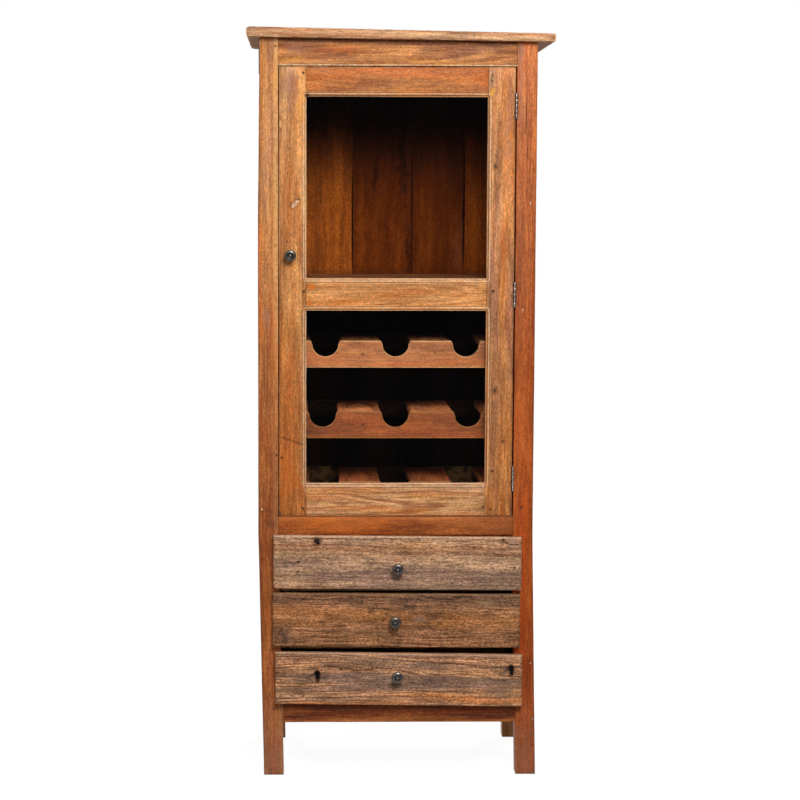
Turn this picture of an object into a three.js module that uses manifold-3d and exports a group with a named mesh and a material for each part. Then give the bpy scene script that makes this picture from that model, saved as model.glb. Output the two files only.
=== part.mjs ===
// A tall rustic wine cabinet in reclaimed hardwood: a glazed door over three overlay drawers.
// Behind the lower glass stand three tiers of bottle rack, and behind the upper glass a display shelf.
// Millimetres. +X is the viewer's right, -Y is the front, +Z is up.
// The origin is on the floor, midway between the widest points of the whole piece.
import * as THREE from "three";
import { mergeVertices } from "three/addons/utils/BufferGeometryUtils.js";
import Module from "manifold-3d";

const wasm = await Module();
wasm.setup();

// Clearances
const seat = 0.3; // between two pieces that are glued, nailed or screwed together
const doorGap = 1.5; // above, below and beside the inset door, but not at its hinges
const hingeGap = 3; // between the door and the post that carries it
const drawerSlack = 3; // each side of a drawer box
const overrun = 2; // how far a cutting shape passes the face that it cuts

// Carcass
const bodyWidth = 628;
const bodyDepth = 375;
const postSize = 46;
const railThickness = 22;
const legClear = 124; // floor to the underside of the apron
const apronHeight = 50;
const waistHeight = 45;
const headerHeight = 62.1; // at its left end, because the old top board falls to the right
const footLean = 12; // the old lower frame leans to the right, this far between its waist and the floor

// Top board, thinner and lower at its right end
const overhangLeft = 25;
const overhangRight = 37;
const overhangFront = 25;
const topThicknessLeft = 22.5;
const topThicknessRight = 18.5;
const topFall = 13;

// Side frames, back and inner boards
const sideThickness = 22;
const sideSet = 1.5; // outer face behind the outer face of the posts
const sideRecess = 8;
const sideTopRailHeight = 70;
const sideRailHeight = 60;
const backThickness = 12;
const backSet = 6; // rear face in front of the rear face of the posts
const backGrooveWidth = 2;
const backGrooveDepth = 3;
const backSeamShares = [0.075, 0.325, 0.594, 0.83]; // of the back's width, from the left
const rearRailThickness = 18;
const rearRailHeight = 60;
const shelfThickness = 18;
const shelfDrop = 3; // shelf top below the top edge of the door's middle rail
const shelfClear = 4; // shelf front behind the closed door
const floorThickness = 12;
const stopWidth = 12;
const stopDepth = 12;
const stopHeight = 80;

// Bottle rack, one rail, one batten, two lane boards and two end boards in each tier
const tiers = 3;
const tierPitch = 162.5;
const rackFootGap = 12.5; // cabinet floor to the lowest rack rail
const rackRailHeight = 61;
const rackRailThickness = 18;
const notchCount = 3;
const notchPitches = [161, 167, 163]; // in each tier from the top, because each rail was sawn by eye
const notchWidth = 62;
const notchDepth = 36.5;
const notchLip = 3.2; // rounding of each notch's upper corners
const battenHeight = 40;
const laneBoardThickness = 15;
const laneStep = 3.5; // lane board narrower than the land between two notches, each side

// Door
const doorThickness = 22;
const stileWidth = 62;
const doorBottomRailHeight = 74.6;
const lowerGlassHeight = 394;
const doorMidRailHeight = 73;
const upperGlassHeight = 406.5;
const doorTopRailHeight = 66.5;
const rebateWidth = 8;
const rebateDepth = 10;
const glassThickness = 4;
const glassSlack = 1; // each side of a pane in its rebate
const doorKnobInset = 26; // from the door's left edge
const doorKnobRise = 51.5; // above the top edge of the middle rail

// Butt hinges
const hingeHeight = 58;
const hingeFromEnd = 86; // centre of the top hinge below the door's top, and of the bottom one above its foot
const barrelRadius = 3.5;
const barrelProud = 1.5; // hinge axis in front of the face
const pinRadius = 1.5;
const pinClearance = 0.3;
const leafThickness = 1.8;
const leafWidth = 20;
const knuckles = 5;
const knuckleGap = 0.4;
const barrelClearance = 0.5; // round the barrel in the wood
const hingeSides = 20;

// Drawers
const drawers = 3;
const drawerLap = 15; // each end of a drawer front over a post
const drawerFrontThickness = 20;
const drawerPitch = 134;
const frontBelowDeck = 2; // left end of a drawer front below the deck that its box runs on
const waistLap = 4.5; // top drawer front over the waist rail
const deckThickness = 12;
const deckSet = 8; // deck front behind the face of the posts
const boxWall = 12;
const boxFloor = 8;
const boxHeight = 98;
const boxRearGap = 4; // closed drawer box in front of the rear rails
// For each drawer from the top: height of its front, fall of its right end, and shift to the right
const drawerFrontHeights = [123, 124, 121];
const drawerFalls = [5, 4, 8];
const drawerShifts = [4, 2, 8];
// Each knob above the middle of its front, and to the right of it
const knobRises = [-11, 0, 10];
const knobShifts = [0, -4, -4];

// Knobs
const knobReach = 26;
const knobRadius = 13;
const knobBaseRadius = 8;
const knobNeckRadius = 5.5;
const knobHeadThickness = 9;
const knobRim = 2;
const knobDish = 1.5;
const knobSides = 24;

// Places that follow from the sizes
const topLength = overhangLeft + bodyWidth + overhangRight;
const bodyLeft = overhangLeft - topLength / 2;
const bodyRight = bodyLeft + bodyWidth;
const overallDepth = bodyDepth + drawerFrontThickness + knobReach + 2 * seat;
const backY = overallDepth / 2;
const faceY = backY - bodyDepth;
const innerLeft = bodyLeft + postSize;
const innerRight = bodyRight - postSize;
const middleX = (bodyLeft + bodyRight) / 2;
const frontPostBack = faceY + postSize;
const rearPostFront = backY - postSize;
const sideInner = sideSet + sideThickness; // side frame's inner face, from the outer face of the posts
const backFront = backY - backSet - backThickness;
const rearRailBack = backFront - seat;
const rearRailFront = rearRailBack - rearRailThickness;
const drawerFrontWidth = innerRight - innerLeft + 2 * drawerLap;
const apronTop = legClear + apronHeight;
const topFrontFoot = apronTop + (drawers - 1) * drawerPitch - frontBelowDeck;
const waistBottom = topFrontFoot + drawerFrontHeights[0] - waistLap;
const waistTop = waistBottom + waistHeight;
const doorLeft = innerLeft + doorGap;
const doorRight = innerRight - hingeGap;
const doorBottom = waistTop + doorGap;
const lowerGlassBottom = doorBottom + doorBottomRailHeight;
const lowerGlassTop = lowerGlassBottom + lowerGlassHeight;
const upperGlassBottom = lowerGlassTop + doorMidRailHeight;
const upperGlassTop = upperGlassBottom + upperGlassHeight;
const doorTop = upperGlassTop + doorTopRailHeight;
const headerBottom = doorTop + doorGap;
const topUnderLeft = headerBottom + headerHeight + seat;
const topUnderRight = topUnderLeft + topThicknessLeft - topFall - topThicknessRight;
const rackRailFront = frontPostBack + seat;
const rackRailBack = rackRailFront + rackRailThickness;
const battenBack = rearPostFront - seat;
const battenFront = battenBack - rackRailThickness;

// Underside of the top board over a given place.
function underTop(x) {
  const share = (x + topLength / 2) / topLength;
  return topUnderLeft + (topUnderRight - topUnderLeft) * share;
}

// How far the leaning lower frame stands to the right at a height.
function leanAt(height) {
  return height < waistBottom ? footLean * (1 - height / waistBottom) : 0;
}

function tierTop(tier) {
  return waistTop + rackFootGap + rackRailHeight + (tiers - tier) * tierPitch;
}

function deckTop(drawer) {
  return apronTop + (drawers - drawer) * drawerPitch;
}

const finishes = {
  topWood: new THREE.MeshStandardMaterial({ color: 0xa8703e, roughness: 0.62, metalness: 0 }),
  postWood: new THREE.MeshStandardMaterial({ color: 0xb06a38, roughness: 0.6, metalness: 0 }),
  railWood: new THREE.MeshStandardMaterial({ color: 0xa55c30, roughness: 0.6, metalness: 0 }),
  doorWood: new THREE.MeshStandardMaterial({ color: 0xb87040, roughness: 0.58, metalness: 0 }),
  drawerWood: new THREE.MeshStandardMaterial({ color: 0x9a7350, roughness: 0.62, metalness: 0 }),
  boxWood: new THREE.MeshStandardMaterial({ color: 0xb48a5c, roughness: 0.75, metalness: 0 }),
  sideWood: new THREE.MeshStandardMaterial({ color: 0xa0673a, roughness: 0.65, metalness: 0 }),
  backWood: new THREE.MeshStandardMaterial({ color: 0x8a5f36, roughness: 0.75, metalness: 0 }),
  rackWood: new THREE.MeshStandardMaterial({ color: 0xa47848, roughness: 0.7, metalness: 0 }),
  glass: new THREE.MeshStandardMaterial({ color: 0xe6efec, roughness: 0.05, metalness: 0, transparent: true, opacity: 0.3 }),
  knobMetal: new THREE.MeshStandardMaterial({ color: 0x3a3532, roughness: 0.4, metalness: 0.9 }),
  hingeMetal: new THREE.MeshStandardMaterial({ color: 0x7d6a58, roughness: 0.45, metalness: 0.85 }),
};

const cabinet = new THREE.Group();
const carcass = new THREE.Group();
const rack = new THREE.Group();
const door = new THREE.Group();
const drawerStack = new THREE.Group();
cabinet.add(carcass, rack, door, drawerStack);

function addPiece(group, name, geometry, finish) {
  const mesh = new THREE.Mesh(geometry, finishes[finish].clone());
  mesh.name = name;
  group.add(mesh);
  return mesh;
}

// A rectangular block between two corners.
function block(low, high) {
  const size = high.map((value, axis) => value - low[axis]);
  const centre = high.map((value, axis) => (value + low[axis]) / 2);
  return new THREE.BoxGeometry(...size).translate(...centre);
}

// A board whose front outline is given as [x, z] points, running from front to back.
function frontOutline(points, front, back) {
  const shape = new THREE.Shape(points.map(([x, z]) => new THREE.Vector2(x, z)));
  const geometry = new THREE.ExtrudeGeometry(shape, { depth: back - front, bevelEnabled: false });
  return geometry.rotateX(Math.PI / 2).translate(0, back, 0);
}

// A board whose plan is given as [x, y] points, from its underside to its top.
function planOutline(points, bottom, top) {
  const shape = new THREE.Shape(points.map(([x, y]) => new THREE.Vector2(x, y)));
  const geometry = new THREE.ExtrudeGeometry(shape, { depth: top - bottom, bevelEnabled: false });
  return geometry.translate(0, 0, bottom);
}

// A board's front outline, bent at the waist where the leaning lower frame begins.
function bentOutline(left, right, bottom, topLeft, topRight) {
  const bends = bottom < waistBottom && waistBottom < Math.min(topLeft, topRight);
  return [
    [left + leanAt(bottom), bottom],
    [right + leanAt(bottom), bottom],
    ...(bends ? [[right, waistBottom]] : []),
    [right + leanAt(topRight), topRight],
    [left + leanAt(topLeft), topLeft],
    ...(bends ? [[left, waistBottom]] : []),
  ];
}

// A block between two corners that follows the lean of the lower frame.
function frameBlock([left, front, bottom], [right, back, top]) {
  return frontOutline(bentOutline(left, right, bottom, top, top), front, back);
}

// The same, with its top cut to the slope of the top board's underside.
function underTopBlock(left, right, front, back, bottom) {
  const points = bentOutline(left, right, bottom, underTop(left) - seat, underTop(right) - seat);
  return frontOutline(points, front, back);
}

function toSolid(geometry) {
  const bare = geometry.index ? geometry.toNonIndexed() : geometry.clone();
  bare.deleteAttribute("normal");
  bare.deleteAttribute("uv");
  const merged = mergeVertices(bare, seat / 1000);
  const vertProperties = new Float32Array(merged.getAttribute("position").array);
  const triVerts = new Uint32Array(merged.index.array);
  return new wasm.Manifold(new wasm.Mesh({ numProp: 3, vertProperties, triVerts }));
}

function toGeometry(solid) {
  const mesh = solid.getMesh();
  const geometry = new THREE.BufferGeometry();
  geometry.setAttribute("position", new THREE.BufferAttribute(new Float32Array(mesh.vertProperties), 3));
  geometry.setIndex(new THREE.BufferAttribute(new Uint32Array(mesh.triVerts), 1));
  const flat = geometry.toNonIndexed();
  flat.computeVertexNormals();
  return flat;
}

function cut(geometry, cutters) {
  return toGeometry(cutters.reduce((solid, cutter) => solid.subtract(toSolid(cutter)), toSolid(geometry)));
}

function join(geometries) {
  return toGeometry(geometries.map(toSolid).reduce((whole, solid) => whole.add(solid)));
}

// An upright cylinder at a place, from its foot to its head.
function uprightCylinder(x, y, bottom, top, radius) {
  const geometry = new THREE.CylinderGeometry(radius, radius, top - bottom, hingeSides);
  return geometry.rotateX(Math.PI / 2).translate(x, y, (bottom + top) / 2);
}

// Hinge places and the recesses that they need in the wood
const hingeX = innerRight - hingeGap / 2;
const hingeY = faceY - barrelProud;
const hingeCentres = {
  top: doorTop - hingeFromEnd,
  middle: (lowerGlassTop + upperGlassBottom) / 2,
  bottom: doorBottom + hingeFromEnd,
};

function hingeRecesses(plateLeft, plateRight) {
  return Object.values(hingeCentres).flatMap((centre) => {
    const low = centre - hingeHeight / 2 - barrelClearance;
    const high = centre + hingeHeight / 2 + barrelClearance;
    return [
      block([plateLeft, faceY - overrun, low], [plateRight, hingeY + leafWidth + seat, high]),
      uprightCylinder(hingeX, hingeY, low, high, barrelRadius + barrelClearance),
    ];
  });
}

function buildPosts() {
  const columns = { left: [bodyLeft, innerLeft], right: [innerRight, bodyRight] };
  for (const [side, [left, right]] of Object.entries(columns)) {
    const front = underTopBlock(left, right, faceY, frontPostBack, 0);
    const plate = [innerRight - overrun, innerRight + leafThickness + seat];
    const shaped = side === "right" ? cut(front, hingeRecesses(...plate)) : front;
    addPiece(carcass, "front_post_" + side, shaped, "postWood");
    addPiece(carcass, "rear_post_" + side, underTopBlock(left, right, rearPostFront, backY, 0), "postWood");
  }
}

function buildTopBoard() {
  const points = [
    [-topLength / 2, topUnderLeft],
    [topLength / 2, topUnderRight],
    [topLength / 2, topUnderRight + topThicknessRight],
    [-topLength / 2, topUnderLeft + topThicknessLeft],
  ];
  addPiece(carcass, "top_board", frontOutline(points, faceY - overhangFront, backY), "topWood");
}

function buildFrontRails() {
  const left = innerLeft + seat;
  const right = innerRight - seat;
  const back = faceY + railThickness;
  addPiece(carcass, "header_rail", underTopBlock(left, right, faceY, back, headerBottom), "railWood");
  addPiece(carcass, "waist_rail", block([left, faceY, waistBottom], [right, back, waistTop]), "railWood");
  addPiece(carcass, "front_apron", frameBlock([left, faceY, legClear], [right, back, apronTop]), "railWood");
}

// Each side frame is three rails with two recessed fields of planks between them.
function buildSideFrames() {
  const front = frontPostBack + seat;
  const back = rearPostFront - seat;
  const fields = [
    [legClear + sideRailHeight, waistTop - sideRailHeight],
    [waistTop, underTop(bodyRight) - sideTopRailHeight],
  ];
  const sides = {
    left: [bodyLeft + sideSet, bodyLeft + sideInner, bodyLeft, bodyLeft + sideSet + sideRecess],
    right: [bodyRight - sideInner, bodyRight - sideSet, bodyRight - sideSet - sideRecess, bodyRight],
  };
  for (const [side, [left, right, fieldLeft, fieldRight]] of Object.entries(sides)) {
    const frame = underTopBlock(left, right, front, back, legClear);
    const recesses = fields.map(([low, high]) =>
      frameBlock([fieldLeft, front - overrun, low], [fieldRight, back + overrun, high]));
    addPiece(carcass, "side_frame_" + side, cut(frame, recesses), "sideWood");
  }
}

function buildBack() {
  const left = innerLeft + seat;
  const right = innerRight - seat;
  const panelBack = backFront + backThickness;
  const panel = underTopBlock(left, right, backFront, panelBack, legClear);
  const grooves = backSeamShares.flatMap((share) => {
    const seamLeft = left + share * (right - left) - backGrooveWidth / 2;
    const seamRight = seamLeft + backGrooveWidth;
    const low = legClear - overrun;
    const high = topUnderLeft + overrun;
    return [
      frameBlock([seamLeft, backFront - overrun, low], [seamRight, backFront + backGrooveDepth, high]),
      frameBlock([seamLeft, panelBack - backGrooveDepth, low], [seamRight, panelBack + overrun, high]),
    ];
  });
  addPiece(carcass, "back_panel", cut(panel, grooves), "backWood");
  const topRail = underTopBlock(left, right, rearRailFront, rearRailBack, underTop(right) - rearRailHeight);
  addPiece(carcass, "rear_top_rail", topRail, "railWood");
  const lowRailTop = apronTop - deckThickness - seat;
  const bottomRail = frameBlock([left, rearRailFront, legClear], [right, rearRailBack, lowRailTop]);
  addPiece(carcass, "rear_bottom_rail", bottomRail, "railWood");
}

// A level board that fills the plan of the carcass and is notched round the four posts.
function notchedBoard(front, back, bottom, top) {
  const wideLeft = bodyLeft + sideInner + seat;
  const wideRight = bodyRight - sideInner - seat;
  const left = innerLeft + seat;
  const right = innerRight - seat;
  const frontStep = frontPostBack + seat;
  const backStep = rearPostFront - seat;
  const points = [
    [left, front],
    [right, front],
    [right, frontStep],
    [wideRight, frontStep],
    [wideRight, backStep],
    [right, backStep],
    [right, back],
    [left, back],
    [left, backStep],
    [wideLeft, backStep],
    [wideLeft, frontStep],
    [left, frontStep],
  ];
  return planOutline(points, bottom, top).translate(leanAt((bottom + top) / 2), 0, 0);
}

function buildInnerBoards() {
  const shelfTop = upperGlassBottom - shelfDrop;
  const back = backFront - seat;
  const shelf = notchedBoard(faceY + doorThickness + shelfClear, back, shelfTop - shelfThickness, shelfTop);
  addPiece(carcass, "display_shelf", shelf, "rackWood");
  const behindRail = faceY + railThickness + seat;
  const cabinetFloor = notchedBoard(behindRail, back, waistTop - floorThickness, waistTop);
  addPiece(carcass, "cabinet_floor", cabinetFloor, "rackWood");
  for (let drawer = 1; drawer <= drawers; drawer += 1) {
    const top = deckTop(drawer);
    const front = drawer === drawers ? behindRail : faceY + deckSet;
    const deck = notchedBoard(front, back, top - deckThickness, top);
    addPiece(carcass, "drawer_deck_" + drawer, deck, "boxWood");
  }
}

function buildDoorStop() {
  const front = faceY + doorThickness + seat;
  const left = innerLeft + seat;
  const top = headerBottom - seat;
  const stop = block([left, front, top - stopHeight], [left + stopWidth, front + stopDepth, top]);
  addPiece(carcass, "door_stop", stop, "rackWood");
}

// The front rail of a tier: a board with a round-bottomed, round-lipped notch for each bottle.
function rackRail(left, right, top, pitch) {
  const radius = notchWidth / 2;
  const mouth = radius + notchLip;
  const springing = top - notchDepth + radius;
  const lipMiddle = top - notchLip;
  const shape = new THREE.Shape();
  shape.moveTo(left, top - rackRailHeight);
  shape.lineTo(right, top - rackRailHeight);
  shape.lineTo(right, top);
  for (let notch = notchCount; notch >= 1; notch -= 1) {
    const centre = middleX + (notch - (notchCount + 1) / 2) * pitch;
    shape.lineTo(centre + mouth, top);
    shape.absarc(centre + mouth, lipMiddle, notchLip, Math.PI / 2, Math.PI, false);
    shape.lineTo(centre + radius, springing);
    shape.absarc(centre, springing, radius, 0, -Math.PI, true);
    shape.lineTo(centre - radius, lipMiddle);
    shape.absarc(centre - mouth, lipMiddle, notchLip, 0, Math.PI / 2, false);
  }
  shape.lineTo(left, top);
  shape.closePath();
  const depth = rackRailBack - rackRailFront;
  const geometry = new THREE.ExtrudeGeometry(shape, { depth, bevelEnabled: false, curveSegments: 9 });
  return geometry.rotateX(Math.PI / 2).translate(0, rackRailBack, 0);
}

function buildRack() {
  const left = bodyLeft + sideInner + seat;
  const right = bodyRight - sideInner - seat;
  const laneFront = rackRailBack + seat;
  const laneBack = battenFront - seat;
  for (let tier = 1; tier <= tiers; tier += 1) {
    const top = tierTop(tier);
    const pitch = notchPitches[tier - 1];
    const laneWidth = pitch - notchWidth - 2 * laneStep;
    const outerNotch = ((notchCount - 1) * pitch + notchWidth) / 2 + laneStep;
    const lanes = { left: middleX - pitch / 2, right: middleX + pitch / 2 };
    const ends = { left: [left, middleX - outerNotch], right: [middleX + outerNotch, right] };
    addPiece(rack, "rack_rail_" + tier, rackRail(left, right, top, pitch), "rackWood");
    const batten = block([left, battenFront, top - battenHeight], [right, battenBack, top]);
    addPiece(rack, "rack_batten_" + tier, batten, "rackWood");
    const low = top - laneBoardThickness;
    for (const side of ["left", "right"]) {
      const laneLeft = lanes[side] - laneWidth / 2;
      const lane = block([laneLeft, laneFront, low], [laneLeft + laneWidth, laneBack, top]);
      addPiece(rack, "rack_board_" + tier + "_" + side, lane, "rackWood");
      const [endLeft, endRight] = ends[side];
      const end = block([endLeft, laneFront, low], [endRight, laneBack, top]);
      addPiece(rack, "rack_end_" + tier + "_" + side, end, "rackWood");
    }
  }
}

// A turned knob that stands on a face, pointing to the front. Its profile is [radius, distance].
function knob(x, face, z) {
  const headBack = knobReach - knobHeadThickness;
  const profile = [
    [0, 0],
    [knobBaseRadius, 0],
    [knobBaseRadius, knobRim],
    [knobNeckRadius, 2 * knobRim],
    [knobNeckRadius, headBack - knobRim],
    [knobRadius - knobRim, headBack],
    [knobRadius, headBack + knobRim],
    [knobRadius, knobReach - knobRim],
    [knobRadius - knobRim, knobReach],
    [knobRadius - 2 * knobRim, knobReach - knobDish],
    [0, knobReach - knobDish],
  ];
  const geometry = new THREE.LatheGeometry(profile.map(([r, h]) => new THREE.Vector2(r, h)), knobSides);
  return geometry.rotateX(Math.PI).translate(x, face, z);
}

function buildDoor() {
  const front = faceY;
  const back = faceY + doorThickness;
  const glassLeft = doorLeft + stileWidth;
  const glassRight = doorRight - stileWidth;
  const openings = {
    lower: [lowerGlassBottom, lowerGlassTop],
    upper: [upperGlassBottom, upperGlassTop],
  };
  const rebateFront = back - rebateDepth;
  const rebates = Object.values(openings).map(([low, high]) =>
    block(
      [glassLeft - rebateWidth, rebateFront, low - rebateWidth],
      [glassRight + rebateWidth, back + overrun, high + rebateWidth],
    ));
  const hinged = hingeRecesses(doorRight - leafThickness - seat, doorRight + overrun);
  const leftStile = block([doorLeft, front, doorBottom], [glassLeft, back, doorTop]);
  const rightStile = block([glassRight, front, doorBottom], [doorRight, back, doorTop]);
  addPiece(door, "door_stile_left", cut(leftStile, rebates), "doorWood");
  addPiece(door, "door_stile_right", cut(rightStile, [...rebates, ...hinged]), "doorWood");
  const rails = {
    door_bottom_rail: [doorBottom, lowerGlassBottom],
    door_mid_rail: [lowerGlassTop, upperGlassBottom],
    door_top_rail: [upperGlassTop, doorTop],
  };
  for (const [name, [low, high]] of Object.entries(rails)) {
    const rail = block([glassLeft + seat, front, low], [glassRight - seat, back, high]);
    addPiece(door, name, cut(rail, rebates), "doorWood");
  }
  const lap = rebateWidth - glassSlack;
  for (const [level, [low, high]] of Object.entries(openings)) {
    const pane = block(
      [glassLeft - lap, rebateFront + seat, low - lap],
      [glassRight + lap, rebateFront + seat + glassThickness, high + lap],
    );
    addPiece(door, "door_glass_" + level, pane, "glass");
  }
  const knobZ = upperGlassBottom + doorKnobRise;
  addPiece(door, "door_knob", knob(doorLeft + doorKnobInset, front - seat, knobZ), "knobMetal");
}

// Odd knuckles and the pin belong to the frame leaf, even ones turn on the pin with the door leaf.
function hingeLeaf(centre, side) {
  const foot = centre - hingeHeight / 2;
  const pitch = hingeHeight / knuckles;
  const reach = hingeGap / 2 + leafThickness;
  const plateX = side === "frame" ? [hingeGap / 2, reach] : [-reach, -hingeGap / 2];
  const plateLow = [hingeX + plateX[0], hingeY, foot];
  const plateHigh = [hingeX + plateX[1], hingeY + leafWidth, foot + hingeHeight];
  const offset = side === "frame" ? 0 : 1;
  const barrels = [];
  const clearings = [];
  for (let knuckle = 0; knuckle < knuckles; knuckle += 1) {
    const low = foot + knuckle * pitch;
    const own = knuckle % 2 === offset;
    if (own) {
      barrels.push(uprightCylinder(hingeX, hingeY, low + knuckleGap / 2, low + pitch - knuckleGap / 2, barrelRadius));
    } else {
      clearings.push(
        uprightCylinder(hingeX, hingeY, low - knuckleGap / 2, low + pitch + knuckleGap / 2, barrelRadius + knuckleGap));
    }
  }
  const plate = cut(block(plateLow, plateHigh), clearings);
  if (side === "frame") {
    const pin = uprightCylinder(hingeX, hingeY, foot + knuckleGap, foot + hingeHeight - knuckleGap, pinRadius);
    return join([plate, pin, ...barrels]);
  }
  const bore = uprightCylinder(hingeX, hingeY, foot - overrun, foot + hingeHeight + overrun, pinRadius + pinClearance);
  return cut(join([plate, ...barrels]), [bore]);
}

function buildHinges() {
  for (const [place, centre] of Object.entries(hingeCentres)) {
    addPiece(carcass, "hinge_" + place + "_frame_leaf", hingeLeaf(centre, "frame"), "hingeMetal");
    addPiece(door, "hinge_" + place + "_door_leaf", hingeLeaf(centre, "door"), "hingeMetal");
  }
}

function buildDrawers() {
  const frontBack = faceY - seat;
  const boxFront = faceY;
  const boxBack = rearRailFront - boxRearGap;
  for (let drawer = 1; drawer <= drawers; drawer += 1) {
    const fall = drawerFalls[drawer - 1];
    const left = middleX - drawerFrontWidth / 2 + drawerShifts[drawer - 1];
    const right = left + drawerFrontWidth;
    const low = deckTop(drawer) - frontBelowDeck;
    const high = low + drawerFrontHeights[drawer - 1];
    const outline = [
      [left, low],
      [right, low - fall],
      [right, high - fall],
      [left, high],
    ];
    const group = new THREE.Group();
    const front = frontOutline(outline, frontBack - drawerFrontThickness, frontBack);
    addPiece(group, "drawer_" + drawer + "_front", front, "drawerWood");
    const boxBottom = deckTop(drawer) + seat;
    const boxTop = boxBottom + boxHeight;
    const lean = leanAt((boxBottom + boxTop) / 2);
    const boxLeft = innerLeft + drawerSlack + lean;
    const boxRight = innerRight - drawerSlack + lean;
    const shell = block([boxLeft, boxFront, boxBottom], [boxRight, boxBack, boxTop]);
    const hollow = block(
      [boxLeft + boxWall, boxFront - overrun, boxBottom + boxFloor],
      [boxRight - boxWall, boxBack - boxWall, boxTop + overrun],
    );
    addPiece(group, "drawer_" + drawer + "_box", cut(shell, [hollow]), "boxWood");
    const knobX = (left + right) / 2 + knobShifts[drawer - 1];
    const knobZ = (low + high - fall) / 2 + knobRises[drawer - 1];
    const knobFace = frontBack - drawerFrontThickness - seat;
    addPiece(group, "drawer_" + drawer + "_knob", knob(knobX, knobFace, knobZ), "knobMetal");
    drawerStack.add(group);
  }
}

buildTopBoard();
buildPosts();
buildFrontRails();
buildSideFrames();
buildBack();
buildInnerBoards();
buildDoorStop();
buildRack();
buildDoor();
buildHinges();
buildDrawers();

export default cabinet;
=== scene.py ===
# %% [markdown]
# # A rustic wine cabinet in reclaimed hardwood
# The real object is a tall, narrow cabinet on square legs. A glazed door covers three tiers of
# bottle rack and a display shelf, and three drawers lie over the frame below it. Its boards come
# from old buildings, so no two have the same colour, and they keep nail holes, cracks and repairs.
# The packed CAD model gives every size. This file builds the finished look around it, board by
# board, and every piece moves with the CAD body that it belongs to.

# %% Load the packed model
import math

import bmesh
import bpy
from mathutils import Matrix, Vector, noise


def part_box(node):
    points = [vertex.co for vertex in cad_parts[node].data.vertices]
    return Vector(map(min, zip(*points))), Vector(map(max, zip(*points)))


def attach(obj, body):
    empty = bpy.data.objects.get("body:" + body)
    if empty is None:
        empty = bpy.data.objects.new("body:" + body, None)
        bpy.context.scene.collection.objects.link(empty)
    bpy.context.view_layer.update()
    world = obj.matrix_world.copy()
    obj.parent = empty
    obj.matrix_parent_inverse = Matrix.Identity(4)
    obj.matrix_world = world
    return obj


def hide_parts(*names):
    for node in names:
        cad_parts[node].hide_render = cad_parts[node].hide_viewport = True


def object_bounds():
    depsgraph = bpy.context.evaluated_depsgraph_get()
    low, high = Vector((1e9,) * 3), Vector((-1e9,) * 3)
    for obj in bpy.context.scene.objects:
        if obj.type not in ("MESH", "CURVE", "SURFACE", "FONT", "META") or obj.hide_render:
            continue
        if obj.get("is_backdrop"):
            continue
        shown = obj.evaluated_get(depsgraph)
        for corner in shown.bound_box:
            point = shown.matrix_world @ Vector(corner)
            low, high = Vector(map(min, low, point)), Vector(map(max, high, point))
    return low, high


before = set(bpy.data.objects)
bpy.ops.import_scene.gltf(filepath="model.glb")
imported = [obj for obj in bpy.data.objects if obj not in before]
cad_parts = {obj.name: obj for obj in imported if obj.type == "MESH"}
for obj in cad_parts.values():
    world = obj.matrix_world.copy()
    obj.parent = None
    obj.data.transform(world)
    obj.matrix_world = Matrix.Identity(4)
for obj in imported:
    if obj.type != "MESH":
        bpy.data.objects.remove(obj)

cad_low, cad_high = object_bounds()
print("CAD box", [round(v, 4) for v in cad_low], [round(v, 4) for v in cad_high])

# %% [markdown]
# ## The crooked frame
# The old frame is not square. Its lower part leans to the right, and the top board falls to the
# right. Both are measured here from the CAD boxes, so that every board built later can follow.

# %% Lean of the lower frame and slope under the top board
SEAT = 0.0003
TOP_FALL = 0.013

post_low, post_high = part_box("front_post_left")
POST = post_high.y - post_low.y
BODY_LEFT = post_low.x
INNER_LEFT = BODY_LEFT + POST
INNER_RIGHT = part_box("front_post_right")[0].x
BODY_RIGHT = INNER_RIGHT + POST
FACE = post_low.y
POST_BACK = post_high.y
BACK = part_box("rear_post_left")[1].y
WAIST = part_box("waist_rail")[0].z
WAIST_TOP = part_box("waist_rail")[1].z
LEAN = post_high.x - post_low.x - POST
TOP_LEFT = post_high.z
TOP_SLOPE = (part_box("front_post_right")[1].z - TOP_LEFT) / (INNER_RIGHT - BODY_LEFT)
RAIL_LEFT = INNER_LEFT + SEAT
RAIL_RIGHT = INNER_RIGHT - SEAT


def lean_at(z):
    return LEAN * max(0.0, 1.0 - z / WAIST)


def under_top(x):
    return TOP_LEFT + TOP_SLOPE * (x - BODY_LEFT)


def in_frame(point):
    """Carries a point of the carcass along with the lean, and cuts it off under the top board."""
    x = point.x + lean_at(point.z)
    return Vector((x, point.y, min(point.z, under_top(point.x))))


print("lean at the floor %.1f mm, post %.1f mm" % (LEAN * 1000, POST * 1000))

# %% [markdown]
# ## How a board is made
# A sawn board could be a stretched cube with a bevel, but then its edges would be perfect and its
# grain would not know which way the tree grew. Here each board is a fine net of points instead. The
# first helper says where the points lie across the board: close together where an edge is rounded,
# and far apart in the flat middle, which keeps the mesh light.

# %% Places across a board
EDGE_STOPS = (0.0, 0.14, 0.42, 1.0)
TOO_CLOSE = 2e-5


def stops(half, first, last, step, extra):
    """Places across a board: close together where its two edges are rounded, then one every step."""
    places = [-half + first * n for n in EDGE_STOPS] + [half - last * n for n in EDGE_STOPS]
    room = 2 * half - first - last
    count = max(1, round(room / step))
    places += [-half + first + room * i / count for i in range(1, count)]
    places += [e for e in extra if abs(e) < half - 1e-5]
    places.sort()
    kept = [places[0]]
    for place in places[1:]:
        if place - kept[-1] > TOO_CLOSE:
            kept.append(place)
    kept[-1] = half
    return kept


across_post = stops(POST / 2, 0.0026, 0.0026, 0.018, ())
print("places across a post, in mm:", [round(place * 1000, 1) for place in across_post])

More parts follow.
